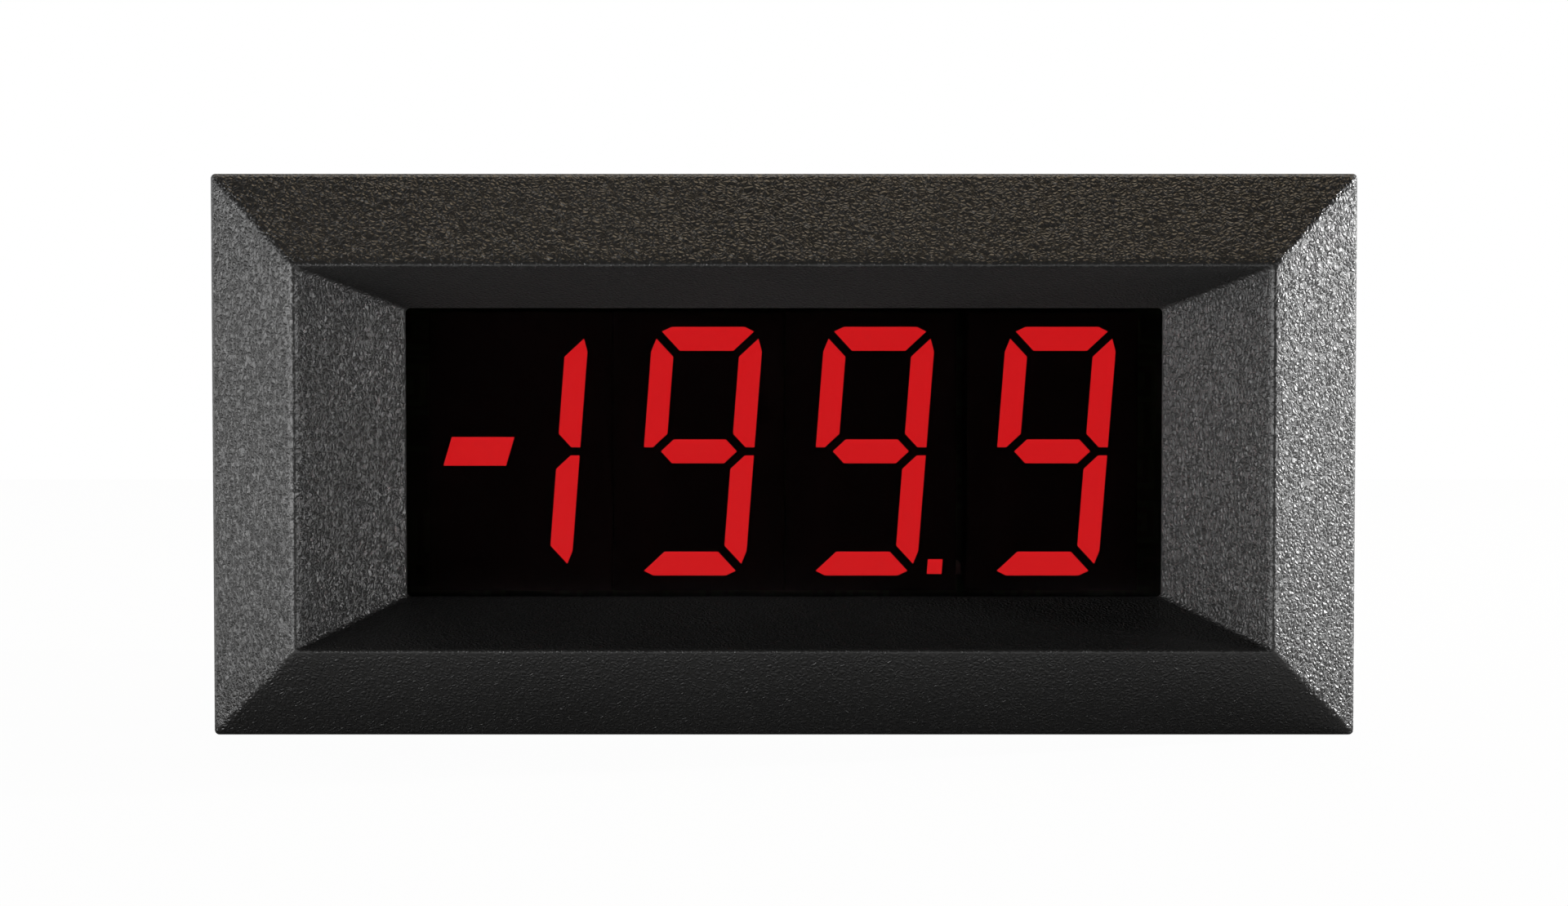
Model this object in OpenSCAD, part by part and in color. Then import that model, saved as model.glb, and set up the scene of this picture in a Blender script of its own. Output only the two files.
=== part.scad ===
// Digital panel meter, 72 x 36 format, with a 3 1/2 digit seven-segment display.
// Millimetres. +X is right and +Z is up as the meter is read, and the display looks along -Y.
// The origin is the centre of the panel cut-out, in the plane of the panel's front face.

/* [Bezel] */
// Width of the front bezel
bezel_w = 72; // [71:0.1:74]
// Height of the front bezel
bezel_h = 35.4; // [35:0.1:37]
// Thickness of the bezel at its outer edge
bezel_edge_t = 1.2; // [0.9:0.1:1.8]
// Small bevel that breaks the outer edge
edge_break = 0.2; // [0.1:0.05:0.4]
// Radius of the four outer corners
bezel_corner_r = 0.35; // [0.2:0.05:1]
// Distance from the outer edge in to the ridge
outer_bevel_w = 5.8; // [5.2:0.1:6.2]
// Height of the ridge over the front of the outer edge
ridge_h = 4.6; // [3.8:0.1:5.2]
// How far the rounding of the ridge reaches down each bevel
ridge_round = 0.35; // [0.2:0.05:0.6]
// Depth of the moulding behind the ridge
ridge_wall = 3.4; // [3:0.1:3.8]
// Width of the window opening
view_w = 48.4; // [47:0.1:49]
// Height of the window opening
view_h = 18.5; // [18:0.1:19]
// Depth of the recess, from the ridge to the window
recess_depth = 8.6; // [8.2:0.1:9]
// Straight edge where the recess meets the window
view_edge = 0.4; // [0.2:0.1:0.8]
// Wall of the recess bevels and of the skirt
bezel_wall = 1.5; // [1.3:0.1:1.6]
// Length of the skirt behind the panel's front face
skirt_len = 9; // [8:0.5:10]

/* [Panel cut-out] */
// Width of the cut-out in the panel
cutout_w = 68; // [67.6:0.1:68.4]
// Height of the cut-out in the panel
cutout_h = 33; // [32.6:0.1:33.4]
// Clearance round the skirt in the cut-out
cutout_gap = 0.3; // [0.2:0.05:0.4]

/* [Window] */
// Thickness of the tinted window
window_t = 1.6; // [1.2:0.1:1.8]
// How far the window reaches under the bezel on each side
window_lap = 1; // [0.7:0.1:1.2]
// Clearance round the window in its pocket
window_fit = 0.1; // [0.05:0.05:0.2]
// How far the pocket's rim stands past the window
pocket_rim = 0.2; // [0:0.1:0.4]
// Wall of the pocket's rim
pocket_wall = 1.2; // [1:0.1:1.4]

/* [Case] */
// Plane of the case's rear edge
case_back = 46; // [45:0.5:50]
// Wall of the case
case_wall = 1.8; // [1.6:0.1:1.9]
// Radius of the case's long edges
case_edge_r = 1.5; // [1:0.1:1.9]
// Clearance between the case and the skirt round it
skirt_fit = 0.1; // [0.05:0.05:0.15]
// Depth of the case's seat in front of the panel plane
seat_depth = 1; // [0.6:0.1:1.2]
// Width of the ledge that the case's front edge seats on
seat_lap = 0.8; // [0.6:0.1:0.9]
// Distance of the latches from the middle of the case
latch_x = 18; // [15:1:22]
// Width of a latch barb
latch_w = 7.6; // [5:0.2:10]
// Height of a latch barb
latch_h = 1; // [0.7:0.1:1.2]
// Length of a latch barb's ramp
latch_len = 1.8; // [1.2:0.1:2.2]
// Plane of the barb's catching face
latch_back = 6.4; // [5.6:0.1:6.6]
// Clearance round a barb in its window
latch_fit = 0.2; // [0.1:0.05:0.3]
// Number of vent slots across the top, and across the bottom
case_vents = 7; // [3:1:8]
// Distance between vent slots
case_vent_pitch = 5; // [3.5:0.5:6]
// Length of a vent slot
case_vent_len = 12; // [6:1:14]
// Width of every vent slot
vent_w = 1.4; // [1:0.1:2]
// Plane of the front end of the case's vent slots
case_vent_front = 24; // [22:1:28]

/* [Clamp rails] */
// Width of the rail's web
rail_web = 4; // [3:0.5:5]
// Height of the web, from the case's side to the rail's head
rail_web_h = 0.9; // [0.8:0.05:1]
// Width of the rail's head
rail_head = 6.4; // [6:0.2:8]
// Thickness of the rail's head
rail_head_t = 0.4; // [0.35:0.05:0.45]
// Height of the ratchet teeth
tooth_h = 0.3; // [0.2:0.05:0.35]
// Distance between ratchet teeth
tooth_pitch = 1.5; // [1:0.25:2]
// Width of the row of teeth
tooth_w = 3.6; // [2:0.2:5]
// Plane of the rail's front end
rail_front = 10.5; // [10:0.5:12]
// Distance from the rail's rear end to the rear of the case
rail_end_gap = 1.5; // [1:0.5:4]

/* [Rear cover] */
// Thickness of the rear cover
cover_t = 2; // [1.6:0.1:3]
// Length of the cover's locating tabs inside the case
tab_len = 1.4; // [1:0.1:1.6]
// Width of a locating tab
tab_w = 24; // [10:1:30]
// Thickness of a locating tab
tab_t = 1.2; // [0.8:0.1:1.4]
// Clearance between a tab and the case
tab_fit = 0.1; // [0.05:0.05:0.2]
// Diameter of the hole over the trimmer's screw
access_d = 3.2; // [2.6:0.1:3.8]
// Clearance round the terminal header in the cover
header_gap = 0.2; // [0.1:0.05:0.3]
// Number of vent slots in the cover
cover_vents = 5; // [3:1:5]
// Distance between the cover's vent slots
cover_vent_pitch = 3; // [2.4:0.1:3]
// Height of the cover's vent slots
cover_vent_len = 14; // [8:1:16]
// Place across the case of the middle cover vent
cover_vent_x = 9; // [8:0.5:10]

/* [Cover screws] */
// Distance of the cover screws from the inner walls of the case
boss_inset = 3.1; // [3:0.05:3.2]
// Diameter of the bosses for the cover screws
boss_d = 6.6; // [6.4:0.1:7]
// Length of the bosses
boss_len = 12; // [10:0.5:14]
// Diameter of the screws' shanks
cover_screw_d = 2.1; // [1.8:0.1:2.4]
// Length of the screws' shanks
cover_screw_len = 8; // [6:0.5:9]
// Diameter of the screws' heads
cover_head_d = 4.2; // [3.8:0.1:4.6]
// Thickness of the screws' heads
cover_head_t = 1.2; // [1:0.1:1.4]
// Height of the straight rim of the screws' heads
cover_head_rim = 0.55; // [0.4:0.05:0.8]
// Depth of the counterbore that the heads sit in
cover_sink = 0.8; // [0.4:0.1:1]
// Clearance of the shanks in the cover
cover_screw_gap = 0.25; // [0.1:0.05:0.4]
// Clearance of the heads in their counterbores
cover_head_gap = 0.25; // [0.1:0.05:0.4]
// Width of the cross recess in the screw heads
cross_w = 0.7; // [0.5:0.1:0.9]
// Length of the arms of the cross recess
cross_len = 2.5; // [2:0.1:2.8]
// Depth of the cross recess in the screw heads
cross_depth = 0.7; // [0.4:0.1:0.8]

/* [Digits] */
// Height of a digit
digit_h = 16.06; // [15:0.1:16.6]
// Width of a digit
digit_w = 7.13; // [6.4:0.05:7.4]
// Thickness of the level segments
level_t = 1.54; // [1.2:0.05:1.7]
// Thickness of the upright segments
upright_t = 1.45; // [1.2:0.05:1.6]
// Gap between neighbouring segments, across the mitre
segment_gap = 0.55; // [0.4:0.05:0.7]
// Gap between the upper and the lower upright segments
waist_gap = 0.53; // [0.4:0.05:0.7]
// Lean of the digits from the vertical, in degrees
digit_lean = 4.4; // [0:0.2:6]
// Cut across the outer corner of a level segment, along the digit
level_corner = 1.22; // [1:0.05:1.4]
// Cut across the outer corner of a level segment, up the digit
level_drop = 0.3; // [0.2:0.05:0.5]
// Distance of an upright segment's tip from its outer side
upright_tip = 0.28; // [0.2:0.05:0.4]
// Height of an upright segment's outer corner under the top of the digit
upright_corner = 1.59; // [1.45:0.05:1.8]
// Width of the flat foot of an upright segment
upright_foot = 0.58; // [0.4:0.05:0.8]
// Side of the decimal point
point_size = 0.95; // [0.7:0.05:1]
// Place of the decimal point beside the digit's middle
point_x = 4.14; // [4.1:0.02:4.4]
// Height of the decimal point over the foot of the digit
point_z = 0.1; // [0:0.05:0.3]
// Width of the minus sign
sign_w = 4.04; // [3.4:0.1:4.2]
// Height of the minus sign
sign_h = 1.85; // [1.4:0.05:2.2]
// Lean of the minus sign's ends, in degrees
sign_lean = 16.5; // [0:0.5:20]
// Place of the minus sign beside the half digit's one
sign_x = -2.95; // [-3:0.05:-2.8]

/* [Display modules] */
// Width of a digit module
module_w = 11; // [10.6:0.02:11.06]
// Width of the half-digit module
half_module_w = 11.8; // [11.7:0.02:12]
// Distance of the half digit's one from its module's middle
half_digit_shift = 0.25; // [0.2:0.05:0.4]
// Height of the modules
module_h = 18; // [17.4:0.1:18.4]
// Depth of the modules, without their feet
module_depth = 6.2; // [5.6:0.1:6.8]
// Height of the feet that stand the modules off their board
module_foot = 0.8; // [0.5:0.1:1]
// Diameter of the modules' feet
module_foot_d = 1.6; // [1.2:0.1:1.8]
// Distance of the feet from the module's sides
module_foot_inset = 1.1; // [1:0.05:1.3]
// Distance of the feet from the module's middle, up and down
module_foot_z = 4; // [3:0.1:4.6]
// Gap between the window and the modules
window_gap = 0.5; // [0.3:0.1:0.8]
// Depth of a lit segment in its module
segment_depth = 2.2; // [1.5:0.1:3]
// Place of the half digit's one
half_digit_x = -16.73; // [-17.2:0.01:-16.7]
// Place of the first digit
digit_1_x = -5.49; // [-5.55:0.01:-5.45]
// Place of the second digit
digit_2_x = 5.6; // [5.55:0.01:6.1]
// Place of the third digit
digit_3_x = 17.3; // [16.8:0.01:17.5]
// Leads in each row of a module
leads_per_row = 5; // [4:1:5]
// Distance between the leads in a row
lead_pitch = 2; // [1.6:0.1:2.2]
// Distance between a module's two rows of leads
lead_rows = 12.7; // [12:0.1:13]
// Diameter of a lead
lead_d = 0.5; // [0.4:0.05:0.6]
// How far the leads stand out behind their board
lead_tail = 1.2; // [0.8:0.1:1.4]

/* [Circuit boards] */
// Thickness of both circuit boards
board_t = 1.6; // [1.4:0.1:1.8]
// Width of the display board
display_board_w = 56; // [54:0.5:56]
// Height of the display board
display_board_h = 24; // [23.6:0.1:24.4]
// Gap between the main board's edges and the sides of the case
board_side_gap = 0.4; // [0.3:0.1:0.7]
// Distance of the main board's rear edge from the rear of the case
main_board_end = 1; // [0.5:0.1:1.1]
// Height of the main board's top over the case's middle
board_top = -9.4; // [-9.6:0.1:-9.3]
// Clearance round a wire or pin in the boards
hole_gap = 0.15; // [0.1:0.05:0.2]
// How far the board guides reach in from the case
guide_reach = 1.5; // [1.2:0.1:1.8]
// Thickness of a board guide
guide_t = 1; // [0.8:0.1:1.1]
// Clearance of the main board between its guides
guide_fit = 0.1; // [0.05:0.05:0.15]
// Number of pins between the two boards
link_pins = 16; // [10:1:18]
// Distance between those pins
link_pitch = 2.54; // [2.3:0.02:2.6]
// Side of a pin between the boards
link_pin_w = 0.64; // [0.5:0.02:0.7]
// Height and depth of the strip that holds those pins
link_strip = 2.5; // [2.3:0.1:2.6]
// Distance from the display board to the strip
link_stand = 1.6; // [1.4:0.1:2]
// How far pins stand out past the boards
pin_tail = 0.6; // [0.4:0.05:0.8]

/* [Board components] */
// Place across the board of the converter chip
chip_x = -10; // [-12:0.5:-8]
// Place along the board of the converter chip
chip_y = 26; // [25:0.5:27]
// Side of the chip's body
chip_w = 10; // [9:0.5:10.5]
// Thickness of the chip's body
chip_t = 2.1; // [1.8:0.1:2.4]
// Gap between the chip's body and the board
chip_stand = 0.2; // [0.1:0.05:0.3]
// Diameter of the dimple that marks the chip's first lead
chip_dimple_d = 1; // [0.6:0.1:1.4]
// Distance of the dimple from the chip's sides
chip_dimple_inset = 1.4; // [1:0.1:2]
// Depth of the dimple
chip_dimple_depth = 0.1; // [0.05:0.05:0.2]
// Leads on each side of the chip
chip_leads_side = 11; // [8:1:11]
// Distance between the chip's leads
chip_lead_pitch = 0.8; // [0.65:0.05:0.85]
// Width of a chip lead
chip_lead_w = 0.36; // [0.3:0.02:0.4]
// Thickness of a chip lead
chip_lead_t = 0.18; // [0.14:0.02:0.22]
// Distance from the chip's body to the bend of its leads
chip_knee = 0.65; // [0.5:0.05:0.8]
// How far a chip lead reaches out from the body
chip_lead_reach = 1.6; // [1.3:0.1:1.8]
// Place across the board of the first film capacitor
film_x = 1; // [0:0.5:2]
// Distance between film capacitors
film_pitch = 5; // [4:0.5:5]
// Number of film capacitors
film_count = 3; // [2:1:3]
// Width of a film capacitor
film_w = 2.6; // [2:0.1:3]
// Length of a film capacitor
film_len = 7.2; // [6:0.1:8]
// Height of a film capacitor
film_h = 6.5; // [5:0.1:8]
// Distance of the electrolytic capacitor's middle from the board's left edge
can_inset = 6.4; // [6:0.1:7.9]
// Diameter of the electrolytic capacitor
can_d = 6.3; // [5:0.1:8]
// Height of the electrolytic capacitor
can_h = 11.2; // [9:0.1:12]
// Depth of the groove round the can, and of its rounded top edge
can_bead = 0.35; // [0.2:0.05:0.5]
// Height of the groove's lower edge
can_groove_z = 1; // [0.8:0.1:1.5]
// Width of the groove at the can's side
can_groove_w = 1.3; // [1:0.1:1.6]
// Width of the groove's floor
can_groove_floor = 0.3; // [0.2:0.1:0.6]
// Depth of the can's top inside its rim
can_rim = 0.2; // [0.1:0.05:0.3]
// Distance of the voltage regulator's middle from the board's left edge
regulator_inset = 6.4; // [6:0.1:6.9]
// Place along the board of the voltage regulator
regulator_y = 33; // [32.5:0.5:34]
// Width of the regulator's body
regulator_w = 6.5; // [6:0.1:7]
// Length of the regulator's body
regulator_len = 3.5; // [3:0.1:3.8]
// Height of the regulator's body
regulator_h = 1.6; // [1.3:0.1:1.8]
// Gap between the regulator's body and the board
regulator_stand = 0.1; // [0.05:0.05:0.15]
// Thickness of the regulator's tab and legs
regulator_metal_t = 0.3; // [0.2:0.05:0.35]
// Width of the regulator's cooling tab
regulator_tab_w = 3; // [2.6:0.1:3.4]
// Length of the regulator's cooling tab
regulator_tab_len = 1.4; // [1:0.1:1.8]
// Width of a regulator leg
regulator_leg_w = 0.7; // [0.5:0.05:0.9]
// Length of a regulator leg
regulator_leg_len = 1.45; // [1:0.05:1.6]
// Distance between the regulator's legs
regulator_leg_pitch = 2.3; // [2:0.1:2.4]
// Distance of the resistors' middle from the board's right edge
resistor_inset = 7.9; // [7:0.1:8.5]
// Place along the board of the first resistor
resistor_y = 20; // [20:0.5:21]
// Number of resistors
resistor_count = 4; // [2:1:4]
// Distance between resistors
resistor_pitch = 3.4; // [3:0.1:3.4]
// Length of a resistor's body
resistor_len = 6.2; // [5:0.1:6.6]
// Diameter of a resistor's body
resistor_d = 2.2; // [1.8:0.1:2.4]
// Depth of the waist between a resistor's end caps
resistor_waist = 0.15; // [0.1:0.05:0.25]
// Length of a resistor's end caps
resistor_cap_len = 1.3; // [1:0.1:1.6]
// Length of the slope from a cap to the waist
resistor_slope = 0.5; // [0.3:0.1:0.7]
// Bevel at the ends of a resistor's body
resistor_edge = 0.3; // [0.2:0.05:0.4]
// Distance from a resistor's body to the upright part of its wires
resistor_bend = 1.4; // [1:0.1:1.8]
// Diameter of a resistor's wires
resistor_wire_d = 0.6; // [0.5:0.05:0.7]

/* [Trimmer] */
// Distance of the trimmer's middle from the board's right edge
trimmer_inset = 9.5; // [8.9:0.1:9.9]
// Thickness of the trimmer
trimmer_w = 4.8; // [4.4:0.1:5]
// Length of the trimmer
trimmer_len = 9.5; // [8.5:0.1:10]
// Height of the trimmer
trimmer_h = 10; // [9.6:0.1:10.4]
// Height of the trimmer's screw over the board
trimmer_screw_z = 8; // [7.6:0.1:8.2]
// Diameter of the trimmer's screw
trimmer_screw_d = 2.2; // [2:0.1:2.4]
// Radial clearance of the trimmer's screw in its bore
trimmer_fit = 0.05; // [0.03:0.01:0.08]
// Depth of the trimmer's bore
trimmer_bore = 3; // [2:0.1:4]
// How far the trimmer's screw stands out of its body
trimmer_stand = 1.5; // [1:0.1:1.6]
// Width of the slot in the trimmer's screw
trimmer_slot_w = 0.5; // [0.3:0.1:0.7]
// Depth of the slot in the trimmer's screw
trimmer_slot_depth = 0.6; // [0.4:0.1:0.9]
// Gap between the trimmer's screw and the rear cover
trimmer_gap = 0.5; // [0.3:0.1:0.8]

/* [Terminals] */
// Number of terminals
poles = 4; // [3:1:4]
// Distance between terminals
pole_pitch = 5.08; // [5:0.01:5.12]
// Place across the case of the middle of the terminals
terminal_x = -12; // [-13:0.5:-11.5]
// Side of a header pin
pin_w = 1; // [0.8:0.05:1.1]
// Height of the header
header_h = 9.4; // [9.2:0.1:9.8]
// Length of the header, from the cover's rear face forward
header_len = 9.2; // [9:0.1:9.6]
// Wall of the header's shroud
header_wall = 1; // [0.8:0.05:1.05]
// Thickness of the header's closed end
header_base = 1.2; // [1:0.1:1.4]
// Width left at the ends beyond the outer poles' share
header_end = 1.2; // [1:0.1:1.6]
// Distance from the header to the upright leg of its pins
pin_setback = 0.5; // [0.3:0.1:0.8]
// How far the pins stop short of the header's mouth
pin_recess = 1.5; // [1.2:0.1:2]

/* [Terminal plug] */
// Clearance round the plug's nose in the header
nose_fit = 0.15; // [0.1:0.05:0.2]
// Clearance between the plug's shoulder and the cover
shoulder_fit = 0.05; // [0.03:0.01:0.1]
// Length of the plug behind the cover
plug_len = 8.5; // [8.2:0.1:10]
// Height of the plug over the pins
plug_top = 8; // [7.8:0.1:9]
// Depth of the plug under the pins
plug_bottom = 4.9; // [4.7:0.1:5]
// Width of the grooves between the poles
pole_groove_w = 0.6; // [0.4:0.1:0.8]
// Depth of the grooves between the poles
pole_groove = 0.4; // [0.3:0.1:0.5]
// Width of the guide ribs on the nose
guide_rib_w = 1.2; // [0.9:0.1:1.6]
// Clearance of a guide rib in its slot
guide_rib_fit = 0.15; // [0.1:0.05:0.2]
// Height of a guide rib
guide_rib_h = 0.7; // [0.5:0.05:0.75]
// Thickness of the nose's front wall
nose_wall = 0.8; // [0.6:0.1:1]
// Clearance of a pin in the nose's front wall
pin_entry_gap = 0.15; // [0.1:0.05:0.2]
// Thickness of a contact's spring leaves
leaf_t = 0.4; // [0.3:0.05:0.45]
// Clearance between a contact leaf and the pin
leaf_fit = 0.05; // [0.03:0.01:0.08]
// Width of a contact
contact_w = 2; // [1.6:0.1:2.2]
// Thickness of the contact's clamping bar
bar_t = 0.8; // [0.6:0.1:0.9]
// Clearance of the contact in its chamber
chamber_gap = 0.25; // [0.15:0.05:0.3]
// Length of the contact's root between leaves and bar
contact_root = 1; // [0.8:0.1:1.2]
// Width of the wire entries
entry_w = 2.8; // [2.4:0.1:3]

/* [Wire cages] */
// Width of a wire cage
cage_w = 3.7; // [3.5:0.1:3.8]
// Length of a wire cage
cage_len = 4.6; // [4.2:0.1:4.6]
// Side wall of a wire cage
cage_wall = 0.5; // [0.4:0.05:0.55]
// Thickness of the cage's threaded top
cage_top_t = 1.2; // [1:0.1:1.3]
// Thickness of the cage's floor
cage_floor_t = 0.7; // [0.6:0.1:0.8]
// Height that the open cage leaves for a wire
wire_room = 2.6; // [2.4:0.1:2.8]
// Clearance between the cage's top and the clamping bar
cage_bar_gap = 0.1; // [0.05:0.05:0.15]
// Clearance of a cage in its well
cage_fit = 0.1; // [0.05:0.05:0.15]
// Travel of a cage
cage_travel = 2.3; // [2:0.1:2.3]
// Wall behind the wells
plug_back_wall = 1.6; // [1.4:0.1:2]

/* [Terminal screws] */
// Diameter of a terminal screw's shank
screw_d = 2.5; // [2.3:0.1:2.6]
// Radial clearance of the shank in the cage and in the shoulder
screw_fit = 0.05; // [0.03:0.01:0.08]
// Diameter of a terminal screw's head
head_d = 3.8; // [3.5:0.1:3.8]
// Thickness of a terminal screw's head
head_t = 1.8; // [1.4:0.1:2]
// Radial clearance of the head in its well
head_fit = 0.1; // [0.05:0.05:0.12]
// Thickness of the shoulder under the screw's head
shoulder_t = 0.75; // [0.6:0.05:0.8]
// Clearance between the raised cage and the shoulder
shoulder_gap = 0.25; // [0.15:0.05:0.35]
// Clearance under the screw's head
head_gap = 0.05; // [0.03:0.01:0.08]
// Width of the slot in the screw's head
slot_w = 0.6; // [0.5:0.05:0.8]
// Depth of the slot in the screw's head
slot_depth = 0.9; // [0.6:0.1:1]

/* [Panel clamps] */
// Distance of the clamp's foot behind the panel's front face, as delivered
clamp_rest = 6; // [5.5:0.5:8]
// Length of a clamp's arm, from the foot to its carriage
clamp_arm = 12; // [11:0.5:14]
// Length of a clamp's carriage
clamp_len = 12; // [10:0.5:14]
// Width of a clamp
clamp_w = 12; // [11:0.5:14]
// Thickness of the clamp's outer wall
clamp_wall = 1.6; // [1.4:0.1:1.8]
// Thickness of the clamp's arm
clamp_arm_t = 1.4; // [1.2:0.05:1.5]
// Clearance of a clamp on its rail, across the rail
clamp_fit = 0.1; // [0.05:0.05:0.15]
// Clearance of the clamp's lips under the rail's head
lip_fit = 0.06; // [0.04:0.02:0.1]
// Clearance between the case's side and the clamp's lips
lip_gap = 0.2; // [0.1:0.05:0.25]
// Width of the ratchet tongue
tongue_w = 4; // [3:0.5:5]
// Length of the ratchet tongue
tongue_len = 9; // [7:0.5:9.5]
// Thickness of the ratchet tongue
tongue_t = 0.9; // [0.7:0.1:1]
// How far the tongue's inner face is set back from the channel
tongue_relief = 0.35; // [0.25:0.05:0.45]
// Width of the slot round the tongue
tongue_slot = 0.7; // [0.5:0.1:1]
// Length of the tongue's nose
nose_len = 1.5; // [1:0.1:2]
// Clearance between the tongue's nose and the tops of the teeth
nose_gap = 0.05; // [0.03:0.01:0.1]
// Number of grip ribs on a clamp
grip_ribs = 4; // [3:1:5]
// Width of a grip rib
grip_w = 0.5; // [0.3:0.1:0.7]
// Distance of the first grip rib from the front of the carriage
grip_start = 0.8; // [0.5:0.1:1.5]
// Distance between grip ribs
grip_pitch = 1.1; // [1:0.1:1.2]
// Height of a grip rib
grip_h = 0.35; // [0.2:0.05:0.4]

/* [Hidden] */
// How far a cutting shape runs past the face that it cuts
past = 0.5;
round_fn = 48;
ridge_steps = 4;
sides = [-1, 1];

case_colour = "#1c1c1c";
bezel_colour = "#2a2a29";
metal_colour = "#c9ccd0";
board_colour = "#1f5a34";
terminal_colour = "#2f7d3a";

// Bezel
half_w = bezel_w / 2;
half_h = bezel_h / 2;
ridge_y = -(bezel_edge_t + ridge_h);
window_y = ridge_y + recess_depth;
skirt_x = cutout_w / 2 - cutout_gap;
skirt_z = cutout_h / 2 - cutout_gap;
window_w = view_w + 2 * window_lap;
window_h = view_h + 2 * window_lap;
window_back = window_y + window_t;
pocket_back = window_back + pocket_rim;

// Case
case_w = 2 * (skirt_x - bezel_wall - skirt_fit);
case_h = 2 * (skirt_z - bezel_wall - skirt_fit);
inner_w = case_w - 2 * case_wall;
inner_h = case_h - 2 * case_wall;
boss_x = inner_w / 2 - boss_inset;
boss_z = inner_h / 2 - boss_inset;
case_front = -seat_depth;
cover_back = case_back + cover_t;
rail_back = case_back - rail_end_gap;
head_x = case_w / 2 + rail_web_h;
teeth_x = head_x + rail_head_t;
crest_x = teeth_x + tooth_h;

// Display
digit_places = [half_digit_x, digit_1_x, digit_2_x, digit_3_x];
module_y = window_back + window_gap;
display_board_y = module_y + module_depth + module_foot;
main_board_w = inner_w - 2 * board_side_gap;
main_board_y = display_board_y + board_t;
main_board_back = case_back - main_board_end;
board_bottom = board_top - board_t;
trimmer_x = main_board_w / 2 - trimmer_inset;
link_z = board_top + link_strip / 2;
link_y = main_board_y + link_stand;
seg_w = digit_w / 2;
seg_h = digit_h / 2;
mitre = segment_gap / sqrt(2);

// Terminals, from the middle of the pins
pin_z = board_top + header_h / 2;
header_y = cover_back - header_len;
header_w = poles * pole_pitch + 2 * header_end;
cavity_w = header_w - 2 * header_wall;
cavity_h = header_h - 2 * header_wall;
cavity_y = header_y + header_base;
nose_w = cavity_w - 2 * nose_fit;
nose_h = cavity_h - 2 * nose_fit;
nose_y = cavity_y + nose_fit;
plug_y = cover_back + shoulder_fit;
plug_back = plug_y + plug_len;
well_back = plug_back - plug_back_wall;
well_y = well_back - cage_len - 2 * cage_fit;
screw_y = (well_y + well_back) / 2;
chamber_w = contact_w + 2 * chamber_gap;
chamber_h = pin_w + 2 * (leaf_fit + leaf_t + chamber_gap);
leaf_y = nose_y + nose_wall + chamber_gap;
root_y = cover_back - pin_recess + chamber_gap + contact_root / 2;
cage_top = bar_t / 2 + cage_bar_gap + cage_top_t;
cage_floor = -bar_t / 2 - wire_room - cage_floor_t;
shoulder_z = cage_top + cage_travel + shoulder_gap;
head_z = shoulder_z + shoulder_t + head_gap;
shank_tip = bar_t / 2 + cage_bar_gap;

// Clamps
carriage_y = clamp_rest + clamp_arm;
channel_x = crest_x + clamp_fit;
clamp_x = channel_x + clamp_wall;

// A block between two opposite corners.
module block(low, high) {
    translate(low) cube(high - low);
}

// Runs a section drawn in X and Z along Y.
module along_y(from, to) {
    translate([0, to, 0]) rotate([90, 0, 0]) linear_extrude(to - from) children();
}

// A rectangle with round corners, about the origin.
module rounded_rect(w, h, r) {
    square([w - 2 * r, h], center = true);
    square([w, h - 2 * r], center = true);
    for (x = sides, z = sides)
        translate([x * (w / 2 - r), z * (h / 2 - r)]) circle(r, $fn = round_fn);
}

// A cylinder along Y.
module rod_y(x, z, from, to, d) {
    translate([x, to, z]) rotate([90, 0, 0]) cylinder(h = to - from, d = d, $fn = round_fn);
}

function mix(a, b, t) = a + (b - a) * t;

// A closed section of [half width, half height, depth] points, carried round a rectangle
// with mitred corners.
module mitred_ring(section) {
    n = len(section);
    corners = [[1, 1], [-1, 1], [-1, -1], [1, -1]];
    points = [for (p = section, c = corners) [c[0] * p[0], p[2], c[1] * p[1]]];
    faces = [for (i = [0 : n - 1], c = [0 : 3])
        let (j = (i + 1) % n, d = (c + 1) % 4)
        [4 * i + c, 4 * j + c, 4 * j + d, 4 * i + d]];
    polyhedron(points, faces);
}

// The bezel's section: edge, outer bevel, rounded ridge, recess bevel, window pocket, groove and
// skirt. The recess bevels lean less above and below the window than at its ends.
edge_point = [half_w, half_h, -bezel_edge_t];
ridge_point = [half_w - outer_bevel_w, half_h - outer_bevel_w, ridge_y];
view_point = [view_w / 2, view_h / 2, window_y - view_edge];
outer_slope = edge_point - ridge_point;
inner_slope = view_point - ridge_point;
ridge_a = ridge_point + outer_slope * ridge_round / norm(outer_slope);
ridge_b = ridge_point + inner_slope * ridge_round / norm(inner_slope);
function ridge_at(t) = mix(mix(ridge_a, ridge_point, t), mix(ridge_point, ridge_b, t), t);

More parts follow.
